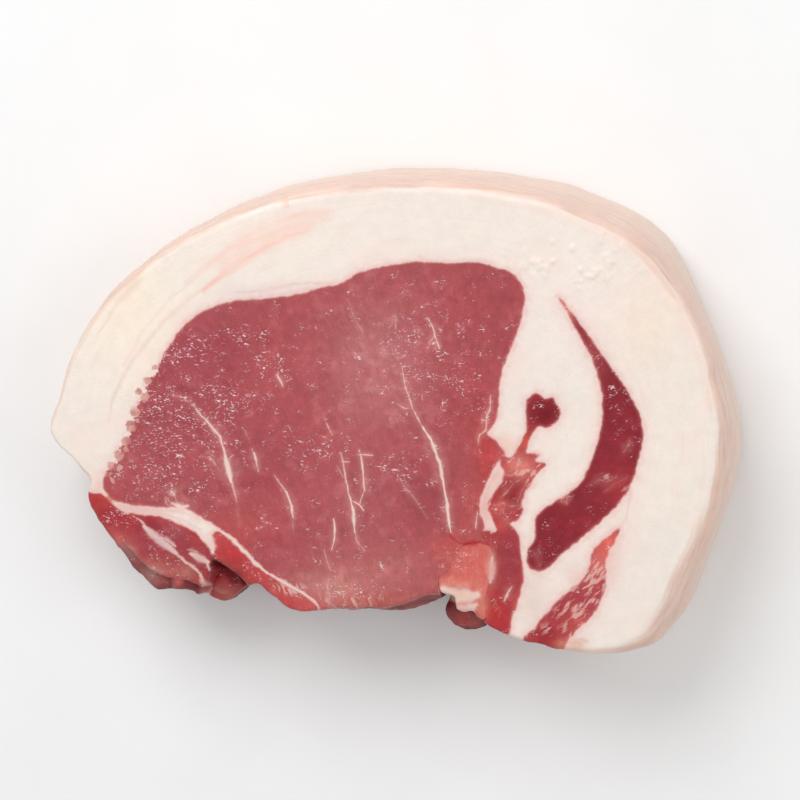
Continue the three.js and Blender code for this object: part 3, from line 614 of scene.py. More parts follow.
def micro_relief(xy, lean, label):
    """Fine form of the cut face: soft waves in fat, finer grain in lean, a small step between."""
    bumps = smooth(noise(xy, 1.5, 25), 0.1, 0.6) * spot_share(xy, *BUMPY_FAT)
    fat = layered(xy, FAT_WAVES) + bumps
    grain = np.column_stack([fibre_lines(xy, label), xy[:, 1]])
    meat = layered(xy, LEAN_WAVES) + layered(grain, FIBRE_RIDGES)
    share = smooth(lean, -0.4, 0.6)
    return fat * (1 - share) + (meat - LEAN_STEP) * share


# ---- Cutting a slab into pieces ----
def face_grid(lo, hi, cell):
    """Staggered rows of points, each shifted a little at random."""
    rows = np.arange(lo[1], hi[1], cell * ROW_GAP)
    x, y = np.meshgrid(np.arange(lo[0], hi[0], cell), rows)
    x = x + (np.arange(len(rows)) % 2)[:, None] * cell / 2
    grid = np.column_stack([x.ravel(), y.ravel()])
    return grid + rng.uniform(-JITTER, JITTER, grid.shape) * cell


def triangulated(points, edges, rings, snap, face_up):
    """Points, triangles that keep the edges and rings, and what each point and triangle is from."""
    made = delaunay_2d_cdt([Vector(p) for p in points.tolist()], edges, rings, 0, snap, True)
    xy, triangles = np.array([tuple(v) for v in made[0]]), np.array(made[2])
    a, b, c = (xy[triangles[:, k]] for k in range(3))
    turn = (b[:, 0] - a[:, 0]) * (c[:, 1] - a[:, 1]) - (b[:, 1] - a[:, 1]) * (c[:, 0] - a[:, 0])
    triangles = np.where(((turn > 0) == face_up)[:, None], triangles, triangles[:, ::-1])
    return xy, triangles, made[3], made[5]


def split_face(loops, extra, cell):
    """Points and triangles of the face inside loops[0], and for each triangle the loops round it."""
    fixed = np.vstack(loops)
    if len(extra):
        fixed = np.vstack([fixed, extra[nearest(extra, fixed)[1] > EXTRA_GAP]])
    grid = face_grid(loops[0].min(0), loops[0].max(0), cell)
    points = np.vstack([fixed, grid[nearest(grid, fixed)[1] > GRID_GAP * cell]])
    ends = np.cumsum([0, *map(len, loops)]).tolist()
    rings = [list(range(start, end)) for start, end in zip(ends, ends[1:])]
    xy, triangles, _, owners = triangulated(points, [], rings, FACE_SNAP, True)
    kept = [i for i, own in enumerate(owners) if 0 in own]
    return xy, triangles[kept], [set(owners[i]) for i in kept]


def border(triangles):
    """Directed edges that only one of the triangles has."""
    edges = np.vstack([triangles[:, [0, 1]], triangles[:, [1, 2]], triangles[:, [2, 0]]])
    top = triangles.max() + 1
    there = edges[:, 0] * top + edges[:, 1]
    back = edges[:, 1] * top + edges[:, 0]
    return edges[~np.isin(there, back)]


def place_on(loop, xy):
    """Nearest segment of a closed loop, the share along it and the distance, for each point."""
    a, b = loop, np.roll(loop, -1, 0)
    along = b - a
    share = np.einsum("psk,sk->ps", xy[:, None] - a[None], along) / np.einsum("sk,sk->s", along, along)
    share = share.clip(0, 1)
    off = xy[:, None] - (a[None] + share[..., None] * along[None])
    distance = np.hypot(off[..., 0], off[..., 1])
    k = distance.argmin(1)
    rows = np.arange(len(xy))
    return k, share[rows, k], distance[rows, k]


def edge_rows(rounding, swell, foot, low, high):
    """Offset from the face's boundary and height of each row down the edge, per rim point."""
    rounding, swell, foot = rounding[:, None], swell[:, None], foot[:, None]
    a = math.pi / 2 * np.arange(1, ROUND_ROWS + 1) / ROUND_ROWS
    t = np.arange(1, WALL_ROWS + 1) / WALL_ROWS
    b = math.pi / 2 * np.arange(1, FOOT_ROWS + 1) / FOOT_ROWS
    offsets = [
        rounding * np.sin(a),
        rounding + (4 * swell - foot) * t + (2 * foot - 4 * swell) * t * t,
        rounding + foot - FOOT_ROUND * (1 - np.cos(b)),
    ]
    heights = [
        high - rounding * (1 - np.cos(a)),
        high - rounding - t * (high - low - rounding - FOOT_ROUND),
        np.tile(low + FOOT_ROUND * (1 - np.sin(b)), (len(rounding), 1)),
    ]
    return np.hstack(offsets), np.hstack(heights)


def underside(xy, edges):
    """Coarse triangles, facing down, between the border edges of one piece's foot."""
    used, edges = np.unique(edges, return_inverse=True)
    edges = edges.reshape(-1, 2)
    ring = xy[used]
    starts, ends = ring[edges[:, 0]], ring[edges[:, 1]]
    coarse = face_grid(ring.min(0), ring.max(0), UNDERSIDE_CELL)
    coarse = coarse[nearest(coarse, ring)[1] > UNDERSIDE_GAP * UNDERSIDE_CELL]
    points = np.vstack([ring, coarse[inside(coarse, starts, ends)]])
    flat, triangles, origins, _ = triangulated(points, edges.tolist(), [], UNDERSIDE_SNAP, False)
    triangles = triangles[inside(flat[triangles].mean(1), starts, ends)]
    source = [min((i for i in ids if i < len(ring)), default=-1) for ids in origins]
    return flat, triangles, [used[i] if i >= 0 else -1 for i in source]


def seam_line(loop):
    """The loop with the small waver of a seam."""
    return loop + outward(loop, 1) * layered(loop, SEAM_WOBBLE)[:, None]


class Slab:
    """A slab between two heights with a shaped edge, cut along upright seams into closed pieces."""

    def __init__(
        self, rows, low, high, lift, rest, muscles=(), voids=(), extra=(), cell=CELL, fitted=False
    ):
        self.names, self.low, self.high, self.lift = [*muscles, rest], low, high, lift
        rim = closed_curve(rows, OUTLINE_STEP)
        rim_out = outward(rim)
        rounding, swell, foot = rim[:, 2], rim[:, 3], rim[:, 4]
        foot = np.maximum(foot, FOOT_ROUND - rounding + 0.15)
        if fitted:
            self.rim_line = seam_line(rim[:, :2])
            torn = smooth(rounding, 0.3, 1.2)
        else:
            self.rim_line = rim[:, :2] + rim_out * layered(rim[:, :2], RIM_WOBBLE)[:, None]
            torn = np.ones(len(rim))
        self.rim_angle = np.linspace(0, 2 * math.pi, len(rim), endpoint=False)
        start = self.rim_line - rim_out * rounding[:, None]
        self.cut(start, voids, [*dict(muscles).values()], extra, cell)
        self.shape_edge(start, np.column_stack([rim_out, rounding, swell, foot, torn]))
        self.find_lean()
        self.place()

    def cut(self, start, voids, muscles, extra, cell):
        """Splits the face; each outline gives way to the earlier ones, and voids are left out."""
        outlines = [*voids, *muscles]
        loops = [start, *(seam_line(closed_curve(outline, OUTLINE_STEP)) for outline in outlines)]
        xy, triangles, owners = split_face(loops, extra, cell)
        label = np.full(len(triangles), len(muscles))
        for k in range(len(outlines), 0, -1):
            label[[k in own for own in owners]] = k - 1 - len(voids)
        used, kept = np.unique(triangles[label >= 0], return_inverse=True)
        self.face_xy, self.triangles, self.label = xy[used], kept.reshape(-1, 3), label[label >= 0]

    def shape_edge(self, start, fields):
        """Finds the face's points on its rim, and the rows of points down the edge below them."""
        xy, tall = self.face_xy, self.high - self.low
        outer = border(self.triangles)
        corner = np.unique(outer)
        k, share, distance = place_on(start, xy[corner])
        on_rim = distance < RIM_REACH
        k, share, self.rim_ids = k[on_rim], share[on_rim][:, None], corner[on_rim]
        fields = fields[k] * (1 - share) + np.roll(fields, -1, 0)[k] * share
        self.rim_normals, self.torn = fields[:, :2], fields[:, 5:]
        raised = self.lift(xy[self.rim_ids])[:, None]
        self.offsets, heights = edge_rows(*fields[:, 2:5].T, self.low, self.high)
        self.heights = self.low + (heights - self.low) * (tall + raised) / tall
        step = np.diff(self.offsets, axis=1, prepend=0)
        drop = np.diff(self.heights, axis=1, prepend=self.high + raised)
        self.depth = np.cumsum(np.hypot(step, drop), axis=1)
        self.rim_place = np.full(len(xy), -1)
        self.rim_place[self.rim_ids] = np.arange(len(self.rim_ids))
        on_edge = place_on(start, xy[outer].mean(1))[2] < EDGE_REACH
        on_edge &= (self.rim_place[outer] >= 0).all(1)
        self.rim_edges = {tuple(e) for e in outer[on_edge].tolist()}

    def find_lean(self):
        """Signed distance of each face point to the border of fat and lean, positive in the lean."""
        rest = len(self.names) - 1
        lean = self.label != rest
        self.near_label = np.full(len(self.face_xy), rest)
        for k in range(rest):
            self.near_label[self.triangles[self.label == k]] = k
        if rest == 0:
            self.lean = np.full(len(self.face_xy), FAR)
            return
        fat_back = {tuple(e) for e in border(self.triangles[~lean])[:, ::-1].tolist()}
        shared = np.array([e for e in border(self.triangles[lean]).tolist() if tuple(e) in fat_back])
        a, b = self.face_xy[shared[:, 0]], self.face_xy[shared[:, 1]]
        samples = np.vstack([a + (b - a) * t for t in (0, 0.25, 0.5, 0.75)])
        owner = np.tile(self.near_label[shared[:, 0]], 4)
        index, distance = nearest(self.face_xy, samples)
        in_lean = np.zeros(len(self.face_xy), bool)
        in_lean[self.triangles[lean]] = True
        self.near_label = np.where(in_lean, self.near_label, owner[index])
        self.lean = np.where(in_lean, distance, -distance)

    def wall(self, offsets):
        """The points down the edge at these offsets from the face's boundary."""
        points = np.empty((*offsets.shape, 3))
        start, out = self.face_xy[self.rim_ids][:, None], self.rim_normals[:, None]
        points[..., :2] = start + out * offsets[..., None]
        points[..., 2] = self.heights
        return points

    def wall_relief(self):
        """How far the rows down the edge stand out: long low wrinkles in rind, torn flesh elsewhere."""
        points = self.wall(self.offsets).reshape(-1, 3)
        layers = (RIND_WRINKLES, TORN_FLESH)
        rind, torn = (layered(points, rows).reshape(self.offsets.shape) for rows in layers)
        share = smooth(self.lean[self.rim_ids], -2, 2)[:, None]
        rough = rind * (1 - share) + torn * share
        from_foot = smooth(self.depth[:, -1:] - self.depth, 0, RELIEF_FULL)
        return rough * smooth(self.depth, RELIEF_START, RELIEF_FULL) * from_foot

    def place(self):
        """Positions of all shared points: the face, the rows down the edge, and the seams' feet."""
        xy, ids, n = self.face_xy, self.rim_ids, len(self.face_xy)
        fine = micro_relief(xy, self.lean, self.near_label)
        wall = self.wall(self.offsets + self.wall_relief() * self.torn)
        wall[..., 2] += fine[ids][:, None] * (1 - self.depth / self.depth[:, -1:]) ** 2
        wall[:, -1, 2] = self.low
        top = np.column_stack([xy, self.high + self.lift(xy) + fine])
        foot = np.column_stack([xy, np.full(n, self.low)])
        self.points = np.vstack([top, wall.reshape(-1, 3), foot])
        self.rows, self.foot_start = wall.shape[1], n + self.depth.size
        self.source = np.concatenate([np.arange(n), np.repeat(ids, self.rows), np.arange(n)])
        self.down = np.concatenate([np.zeros(n), self.depth.ravel(), np.full(n, self.high - self.low)])

    def column(self, v):
        """The points from a border point of the face down to the foot."""
        if self.rim_place[v] < 0:
            return [v, self.foot_start + v]
        begin = len(self.face_xy) + self.rim_place[v] * self.rows
        return [v, *range(begin, begin + self.rows)]

    def piece(self, name):
        """One closed piece: vertices, faces, and the face point behind and depth of each vertex."""
        triangles = self.triangles[self.label == self.names.index(name)]
        edges, faces = border(triangles).tolist(), triangles.tolist()
        for a, b in edges:
            left, right = self.column(a), self.column(b)
            if (a, b) in self.rim_edges:
                for row in range(self.rows):
                    faces.append([right[row], left[row], left[row + 1], right[row + 1]])
            else:
                faces.append([right[0], *left, *right[:0:-1]])
        foot_edges = [[self.column(v)[-1] for v in edge] for edge in edges]
        flat, below, source = underside(self.points[:, :2], np.array(foot_edges))
        base = len(self.points)
        ids = [s if s >= 0 else base + i for i, s in enumerate(source)]
        faces += [[ids[i] for i in t] for t in below.tolist()]
        points = np.vstack([self.points, np.column_stack([flat, np.full(len(flat), self.low)])])
        used = sorted({i for f in faces for i in f})
        new_place = {i: n for n, i in enumerate(used)}
        faces = [[new_place[i] for i in f] for f in faces]
        used = np.array(used)
        shared = np.minimum(used, base - 1)
        origin = np.where(used < base, self.source[shared], triangles[0, 0])
        down = np.where(used < base, self.down[shared], self.high - self.low)
        return points[used], faces, origin, down


# ---- What each vertex tells the material ----
def rgb(*steps):
    """The linear colour of one given in steps of 255."""
    v = np.array(steps, float) / 255
    return np.where(v <= 0.04045, v / 12.92, ((v + 0.055) / 1.055) ** 2.4)


def mixed(color, share, other):
    """The colour with a share of the other at each point."""
    return color * (1 - share[:, None]) + other * share[:, None]


def spotted(xy, spots, color):
    """The colour with soft spots of other colours over it."""
    for *spot, red, green, blue in spots:
        color = mixed(color, spot_share(xy, *spot), rgb(red, green, blue))
    return color


def paint(mesh, name, values):
    """Stores a number, a vector or a colour on each vertex."""
    kind, field = ("FLOAT", "value") if values.ndim == 1 else ("FLOAT_VECTOR", "vector")
    if name.endswith("_color"):
        kind, field = "FLOAT_COLOR", "color"
        values = np.column_stack([values, np.ones(len(values))])
    layer = mesh.attributes.new(name, kind, "POINT")
    layer.data.foreach_set(field, np.ascontiguousarray(values, dtype=np.float32).ravel())


def paint_piece(mesh, slab, points, origin, down, side):
    """Stores what the material needs to know about each vertex; side is 1 in lean and -1 in fat."""
    xy, label = slab.face_xy[origin], slab.near_label[origin]
    index, gap = nearest(xy, slab.rim_line)
    angle = slab.rim_angle[index]
    fade = np.exp(-((down / FACE_FADE) ** 2))
    vein_fade = VEIN_REST + (1 - VEIN_REST) * np.exp(-((down / VEIN_FADE) ** 2))
    halo = [(3.2 * width, 0.4 * strength, *run) for width, strength, *run in VEINS]
    # Painted shade in the flap's folds and in the gaps round the lump in the hollow.
    dark = smooth(stroke_field(xy, FLAP_FOLDS + PAINTED_SHADE_GAPS), 0, 0.7)
    bases = np.array([rgb(*BASE_COLORS[part]) for part in slab.names])
    lean_color = spotted(xy, LEAN_SPOTS, bases[label])
    lean_color = mixed(lean_color, stroke_field(xy, halo) * fade, rgb(214, 152, 142))
    lean_color = mixed(lean_color, stroke_field(xy, CREASES) * fade, rgb(176, 18, 24))
    lean_color = mixed(lean_color, 0.8 * dark * fade, rgb(98, 22, 26))
    fat_color = spotted(xy, FAT_SPOTS, rgb(*BASE_COLORS["fat_cap"]))
    fat_color = mixed(fat_color, stroke_field(xy, FAT_LINES) * fade, rgb(224, 190, 172))
    values = {
        "lean": np.abs(slab.lean[origin]) * side,
        "down": down,
        "flow": np.column_stack([FLOW_RADIUS * np.cos(angle), FLOW_RADIUS * np.sin(angle), gap - down]),
        "fibre": np.column_stack([fibre_lines(points, label), points[:, 1:]]),
        "lean_color": lean_color,
        "fat_color": fat_color,
        "stain": stroke_field(xy, STAINS),
        "vein": stroke_field(xy, VEINS + SEAMS) * vein_fade,
        "glint": np.maximum(0.1, spot_field(xy, GLINTS)) * fade,
        "net": spot_field(xy, NETS) * fade,
        "lace": spot_field(xy, [(x, y, radius, radius, 1) for x, y, radius in LACE]) * fade,
        "granule": granule_field(xy),
    }
    for name, field in values.items():
        paint(mesh, name, field)


# ---- Materials ----
class Shader:
    """A material whose nodes are added one by one; numbers and sockets may be mixed as inputs."""

    def __init__(self, name):
        self.material = bpy.data.materials.new(name)
        self.material.use_nodes = True
        self.tree = self.material.node_tree
        self.surface = self.tree.nodes["Principled BSDF"]
        self.place = self.node("ShaderNodeTexCoord", {}).outputs["Object"]

    def feed(self, socket, value):
        """Joins a socket to another, or sets its number, its vector or its colour of three numbers."""
        if isinstance(value, bpy.types.NodeSocket):
            self.tree.links.new(value, socket)
        elif socket.type == "RGBA":
            socket.default_value = (*map(float, value), 1.0)
        else:
            socket.default_value = value

    def feed_surface(self, **inputs):
        """Sets inputs of the surface, with _ for the spaces in their names."""
        for key, value in inputs.items():
            self.feed(self.surface.inputs[key.replace("_", " ")], value)

    def node(self, kind, inputs, **settings):
        node = self.tree.nodes.new(kind)
        for key, value in settings.items():
            setattr(node, key, value)
        for key, value in inputs.items():
            self.feed(node.inputs[key], value)
        return node

    def math(self, operation, a, b=0.0):
        return self.node("ShaderNodeMath", {0: a, 1: b}, operation=operation).outputs[0]

    def times(self, a, b):
        return self.math("MULTIPLY", a, b)

    def total(self, first, *others):
        for other in others:
            first = self.math("ADD", first, other)
        return first

    def attribute(self, name, output="Fac"):
        return self.node("ShaderNodeAttribute", {}, attribute_name=name).outputs[output]

    def vector(self, operation, a, b):
        return self.node("ShaderNodeVectorMath", {0: a, 1: b}, operation=operation).outputs[0]

    def noise(self, vector, size, detail=2.0, roughness=0.5, output=0):
        """Noise from 0 to 1 whose cells are as large as size, one number or one per axis."""
        factors = tuple(1 / s for s in (size if isinstance(size, tuple) else (size,) * 3))
        inputs = {"Vector": self.vector("MULTIPLY", vector, factors), "Scale": 1.0}
        inputs.update(Detail=detail, Roughness=roughness)
        return self.node("ShaderNodeTexNoise", inputs).outputs[output]

    def warped(self, vector, size, amount):
        """The vector pushed about by up to half the amount."""
        push = self.noise(vector, size, 1.0, 0.5, "Color")
        return self.vector("ADD", vector, self.vector("MULTIPLY", push, (amount,) * 3))

    def step(self, value, low, high, out_low=0.0, out_high=1.0):
        """The value from low to high carried softly to out_low to out_high, and held beyond."""
        inputs = {"Value": value, "From Min": low, "From Max": high, "To Min": out_low, "To Max": out_high}
        return self.node("ShaderNodeMapRange", inputs, interpolation_type="SMOOTHSTEP").outputs[0]

    def swing(self, noise, reach, middle=0.0):
        """Noise spread out from middle - reach to middle + reach."""
        return self.step(noise, 0.3, 0.7, middle - reach, middle + reach)

    def mix(self, share, a, b, blend="MIX"):
        """The first colour with a share of the second."""
        inputs = {0: share, 6: a, 7: b}
        return self.node("ShaderNodeMix", inputs, data_type="RGBA", blend_type=blend).outputs[2]

    def brightened(self, color, factor):
        grey = self.node("ShaderNodeCombineColor", {0: factor, 1: factor, 2: factor}).outputs[0]
        return self.mix(1.0, color, grey, "MULTIPLY")


class Flesh(Shader):
    """Fat and lean in one: each vertex says how far inside the lean it is."""

    def __init__(self, name, roughness, side_shine):
        super().__init__(name)
        self.mm = self.vector("MULTIPLY", self.place, (1000.0, 1000.0, 1000.0))
        self.lean, self.down, self.vein = (self.attribute(key) for key in ("lean", "down", "vein"))
        self.lace = self.attribute("lace")
        self.flow, self.fibre = self.attribute("flow", "Vector"), self.attribute("fibre", "Vector")
        self.base_fat = self.attribute("fat_color", "Color")
        self.mottle = self.noise(self.mm, 1.9, 3.0, 0.6)
        self.fine = self.noise(self.mm, 0.42, 2.0, 0.6)
        self.threads = self.noise(self.fibre, (0.34, 5.0, 2.0), 2.0, 0.55)
        self.grain = self.noise(self.mm, 0.36, 2.0, 0.6)
        self.streaks = self.noise(self.flow, (18.0, 18.0, 1.5), 3.0, 0.55)
        self.glints = self.glint_field()
        color = self.bordered(self.with_rind(self.fat()), self.with_veins(self.lean_meat()))
        height = self.total(
            self.times(self.threads, 0.35),
            self.times(self.fine, 0.45),
            self.times(self.grain, 0.35),
            self.times(self.glints, 0.5),
        )
        height = self.times(height, self.step(self.lean, -0.3, 0.3, 0.55, 1.0))
        bump = self.node("ShaderNodeBump", {"Strength": 0.6, "Distance": 0.00022, "Height": height})
        self.feed_surface(
            Base_Color=self.with_granules(color),
            Roughness=roughness,
            IOR=1.4,
            Specular_IOR_Level=self.step(self.down, 0.8, 3.5, 0.32, side_shine),
            Coat_Weight=self.step(self.down, 0.8, 3.5, 0.16, 0.5 * side_shine),
            Coat_Roughness=0.14,
            Normal=bump.outputs[0],
        )

    def lean_meat(self):
        """Lean with fine fibres, mottling, deeper and paler patches, and darker torn walls, partly the
        flesh's own colour and partly painted shade.
        """
        mm = self.mm
        light = self.total(
            self.swing(self.noise(mm, 9.0, 2.0), 0.05, 1.0),
            self.swing(self.threads, 0.05),
            self.swing(self.mottle, 0.07),
            self.swing(self.fine, 0.05),
        )
        color = self.brightened(self.attribute("lean_color", "Color"), light)
        deep = self.step(self.noise(mm, 6.3, 3.0, 0.55), 0.54, 0.7, 0.0, 0.55)
        color = self.mix(deep, color, (0.88, 0.66, 0.72), "MULTIPLY")
        pale = self.step(self.noise(mm, 3.7, 3.0, 0.6), 0.53, 0.72, 0.0, 0.22)
        color = self.mix(pale, color, (1.6, 2.6, 2.4), "MULTIPLY")
        torn = self.step(self.noise(mm, (6.0, 6.0, 11.0), 3.0), 0.36, 0.64)
        wall_color_and_shade = self.mix(torn, rgb(98, 34, 36), rgb(142, 60, 58))
        # Down the edge the lean turns to the darker wall colour, which is partly painted shade.
        return self.mix(self.step(self.down, 0.3, 4.0, 0.0, 0.8), color, wall_color_and_shade)

    def with_veins(self, color):
        """Over the lean: specks of fat in the nets, a paler border, wet glints, veins and seams."""
        net = self.attribute("net")
        swirled = self.noise(self.warped(self.fibre, 2.0, 1.3), (0.95, 2.1, 1.5), 2.0, 0.5)
        strands = self.total(swirled, self.times(net, 0.1))
        netting = self.times(self.step(strands, 0.55, 0.66), self.step(net, 0.04, 0.45))
        color = self.mix(self.times(netting, 0.78), color, rgb(230, 178, 168))
        color = self.mix(self.step(self.lean, 0.8, 0.0, 0.0, 0.28), color, rgb(214, 120, 114))
        color = self.mix(self.times(self.glints, 0.86), color, rgb(250, 226, 230))
        whiskers = self.noise(self.mm, (1.1, 0.7, 1.0), 2.0, 0.5)
        veins = self.total(self.vein, self.step(whiskers, 0.25, 0.75, -0.1, 0.1))
        veins = self.times(self.step(veins, 0.16, 0.7), self.step(self.vein, 0.02, 0.14))
        strong = self.mix(0.5, self.base_fat, rgb(238, 200, 192))
        vein_color = self.mix(self.step(self.vein, 0.4, 0.85), rgb(220, 156, 151), strong)
        return self.mix(self.times(veins, 0.9), color, vein_color)

    def glint_field(self):
        """Wet glints: short wavy dashes across the fibres and dots, in clusters."""
        cluster = self.total(self.noise(self.mm, 2.6, 2.0), self.times(self.attribute("glint"), 0.3))
        wavy = self.noise(self.warped(self.fibre, 1.4, 0.9), (2.6, 1.25, 1.0), 0.6, 0.5)
        wavy = self.step(self.math("ABSOLUTE", self.math("SUBTRACT", wavy, 0.5)), 0.05, 0.008)
        broken = self.step(self.noise(self.mm, (0.95, 0.6, 1.0), 1.0), 0.5, 0.66)
        dots = self.step(self.noise(self.mm, (0.5, 0.34, 0.4), 1.0), 0.62, 0.7)
        glints = self.math("MAXIMUM", self.times(wavy, broken), self.times(dots, 0.75))
        glints = self.times(glints, self.step(cluster, 0.56, 0.8))
        return self.times(glints, self.step(self.down, 5.0, 1.0, 0.12, 1.0))

    def fat(self):
        """Fat with faint streaks along the rind, pink patches, fine grain with painted tiny glints, and
        stains.
        """
        light = self.total(
            self.swing(self.streaks, 0.014, 1.0),
            self.swing(self.noise(self.mm, 3.0, 3.0, 0.55), 0.022),
            self.swing(self.grain, 0.02),
            # Painted highlights: sparse tiny glints where the grain is highest.
            self.step(self.grain, 0.64, 0.74, 0.0, 0.05),
        )
        color = self.brightened(self.base_fat, light)
        pinkish = self.step(self.noise(self.mm, 8.0, 2.0), 0.5, 0.7, 0.0, 0.5)
        color = self.mix(pinkish, color, rgb(249, 226, 217))
        zone = self.total(self.lean, self.swing(self.mottle, 0.5), self.times(self.lace, -2.2))
        bleed = self.total(self.step(zone, -1.7, 0.1, 0.0, 0.5), self.step(zone, -5.0, -0.6, 0.0, 0.16))
        color = self.mix(bleed, color, rgb(238, 190, 184))
        stain = self.times(self.attribute("stain"), self.step(self.streaks, 0.3, 0.65, 0.45, 1.0))
        return self.mix(self.times(stain, 0.8), color, rgb(250, 190, 170))

    def with_rind(self, color):
        """Rind down the edge, with long fine wrinkles and blotches, creamier lower down."""
        wrinkles = self.step(self.noise(self.flow, (7.5, 7.5, 0.85), 4.0, 0.62), 0.3, 0.66)
        rind = self.mix(wrinkles, rgb(218, 185, 171), rgb(236, 206, 190))
        blotches = self.step(self.noise(self.mm, 7.0, 3.0, 0.6), 0.45, 0.65, 0.0, 0.5)
        rind = self.mix(blotches, rind, rgb(238, 196, 176))
        rind = self.mix(self.step(self.down, 6.0, 24.0, 0.0, 0.35), rind, rgb(238, 222, 206))
        on_side = self.step(self.total(self.down, self.swing(self.streaks, 0.8)), 0.2, 2.6, 0.0, 0.92)
        return self.mix(on_side, color, rind)

    def bordered(self, fat, lean):
        """Fat and lean with a wavering border, which breaks up into lace at the eye's left side."""
        lobes = self.step(self.noise(self.mm, 1.15, 3.0, 0.6), 0.3, 0.7, -3.0, -1.2)
        side_waver = self.swing(self.noise(self.mm, 7.0, 3.0, 0.6), 1.5)
        border_place = self.total(
            self.lean,
            self.step(self.noise(self.mm, 1.8, 2.0, 0.5), 0.25, 0.75, -0.16, 0.16),
            self.times(lobes, self.lace),
            self.times(side_waver, self.step(self.down, 1.5, 10.0)),
        )
        return self.mix(self.step(border_place, -0.34, 0.3), fat, lean)

    def with_granules(self, color):
        granule = self.total(self.attribute("granule"), self.swing(self.fine, 0.14))
        granule_color = self.mix(self.step(self.mottle, 0.35, 0.65), rgb(196, 120, 112), rgb(218, 166, 154))
        return self.mix(self.step(granule, 0.14, 0.6, 0.0, 0.9), color, granule_color)


# ---- Building the pieces ----
def to_metres(points):
    moved = np.array(points, float)
    moved[:, :2] -= MIDDLE
    return moved / 1000


def add(name, data):
    """A new object in the scene."""
    made = bpy.data.objects.new(name, data)
    bpy.context.scene.collection.objects.link(made)
    return made


def build(slab, node, name, look):
    """Makes one piece of a slab as an object that stands for a node of the frame."""
    points, faces, origin, down = slab.piece(node)
    mesh = bpy.data.meshes.new(name)
    mesh.from_pydata(to_metres(points).tolist(), [], faces)
    mesh.update()
    mesh.shade_smooth()
    mesh.set_sharp_from_angle(angle=SHARP_ANGLE)
    paint_piece(mesh, slab, points, origin, down, -1 if node == "fat_cap" else 1)
    mesh.materials.append(look.material)
    piece = add(name, mesh)
    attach(piece, "root")
    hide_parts(node)


fat_look = Flesh("fat_and_rind_look", 0.4, 0.22)
lean_look = Flesh("lean_look", 0.36, 0.04)

granule_strokes = [(radius, 0, x - radius, y, x + radius, y) for x, y, radius in GRANULES]
slice_slab = Slab(
    EDGE,
    0.0,
    THICKNESS,
    relief,
    "fat_cap",
    muscles=MUSCLES,
    voids=[UNDER_LUMP, LOOSE_TAG],
    extra=stroke_points(VEINS + SEAMS + CREASES + FAT_LINES + granule_strokes),
)
build(slice_slab, "fat_cap", "fat_and_rind", fat_look)
LEAN_PIECES = [
    ("loin_eye", "loin_eye_flesh", "lean_eye"),
    ("crescent_muscle", "crescent_flesh", "lean_dark"),
    ("inner_muscle", "inner_flesh", "lean_dark"),
    ("streaky_muscle", "streaky_flesh", "lean_streaky"),
    ("edge_strip", "strip_flesh", "lean_bright"),
    ("flap_outer", "flap_outer_flesh", "lean_bright"),
    ("flap_inner", "flap_inner_flesh", "lean_bright"),
]
for node, name, slot in LEAN_PIECES:
    build(slice_slab, node, name, lean_look)

lump_rows = [(x, y, UNDER_LUMP_ROUNDING, 0.0, 0.0) for x, y in UNDER_LUMP]
lump_slab = Slab(lump_rows, 0.0, UNDER_LUMP_EDGE, lump_lift, "under_lump", cell=LUMP_CELL)
build(lump_slab, "under_lump", "under_lump_flesh", lean_look)


def tag_rows():
    """The tag's edge: well rounded where it lies free, and close to the slice where it is joined."""
    for x, y in LOOSE_TAG:
        free = min(1.0, max(0.0, (TAG_FREE_BELOW - y) / 3)) if x < TAG_FREE_LEFT else 0.0
        rounding = TAG_JOINED_ROUNDING + (TAG_FREE_ROUNDING - TAG_JOINED_ROUNDING) * free
        yield x, y, rounding, 0.0 if free else TAG_SWELL, 0.0


tag_slab = Slab(
    list(tag_rows()),
    TAG_FLOOR,
    THICKNESS,
    tag_lift,
    "loose_tag",
    extra=stroke_points(SEAMS),
    cell=TAG_CELL,
    fitted=True,
)
build(tag_slab, "loose_tag", "loose_tag_flesh", lean_look)


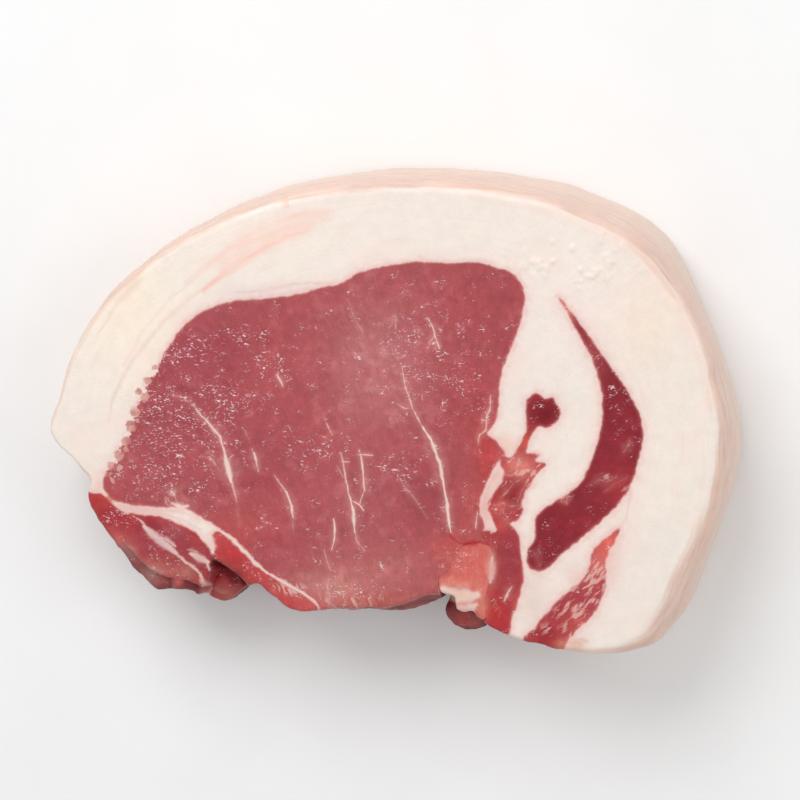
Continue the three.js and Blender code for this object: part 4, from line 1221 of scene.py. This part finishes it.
# ---- Floor, light and camera ----
FLOOR_HALF, FLOOR_DROP = 2.0, 0.0003
floor_look = Shader("floor_look")
grain_inputs = {"Vector": floor_look.place, "Scale": 40.0, "Detail": 3.0}
floor_grain = floor_look.node("ShaderNodeTexNoise", grain_inputs).outputs[0]
floor_tone = floor_look.step(floor_grain, 0.3, 0.7)
floor_color = floor_look.mix(floor_tone, (0.93, 0.93, 0.93), (0.95, 0.95, 0.95))
floor_look.feed_surface(Base_Color=floor_color, Roughness=0.8, Specular_IOR_Level=0.2)
floor_mesh = bpy.data.meshes.new("floor")
floor_sides = [(-1, -1, 0), (1, -1, 0), (1, 1, 0), (-1, 1, 0)]
floor_mesh.from_pydata([Vector(side) * FLOOR_HALF for side in floor_sides], [], [(0, 1, 2, 3)])
floor_mesh.materials.append(floor_look.material)
floor = add("floor", floor_mesh)
floor.location.z = -FLOOR_DROP

world = bpy.data.worlds.new("studio")
world.use_nodes = True
background = world.node_tree.nodes["Background"]
background.inputs["Color"].default_value = (1.0, 1.0, 1.0, 1.0)
background.inputs["Strength"].default_value = 0.6
bpy.context.scene.world = world


def soft_light(name, place, size, watts):
    """A round light aimed at the slice."""
    light = bpy.data.lights.new(name, "AREA")
    light.shape = "DISK"
    light.size = size
    light.energy = watts
    lamp = add(name, light)
    lamp.location = place
    lamp.rotation_euler = (Vector((0, 0, 0.02)) - Vector(place)).to_track_quat("-Z", "Y").to_euler()


soft_light("key", (-0.25, 0.65, 0.75), 0.7, 5.0)
soft_light("fill", (0.7, 0.1, 0.8), 0.6, 1.2)

# The camera looks down at the face, tilted a little towards the rind.
TILT = math.radians(8.5)
DISTANCE = 900.0
SENSOR = 36.0
PICTURE = 800  # the picture's width in pixels
SCALE = 4.573  # pixels per millimetre at that distance
AIM = (1.1, 2.1, THICKNESS)
back = Vector((math.tan(TILT), math.tan(TILT), 1.0)).normalized()
up = (Vector((0, 1, 0)) - back * back.y).normalized()
right = up.cross(back)
camera_data = bpy.data.cameras.new("camera")
camera_data.sensor_width = SENSOR
camera_data.lens = SCALE * DISTANCE * SENSOR / PICTURE
camera_data.clip_end = 10.0
camera = add("camera", camera_data)
turn = Matrix((right, up, back)).transposed().to_4x4()
camera.matrix_world = Matrix.Translation(Vector(to_metres([AIM])[0]) + back * DISTANCE / 1000) @ turn
bpy.context.scene.camera = camera
bpy.context.scene.view_settings.view_transform = "Standard"
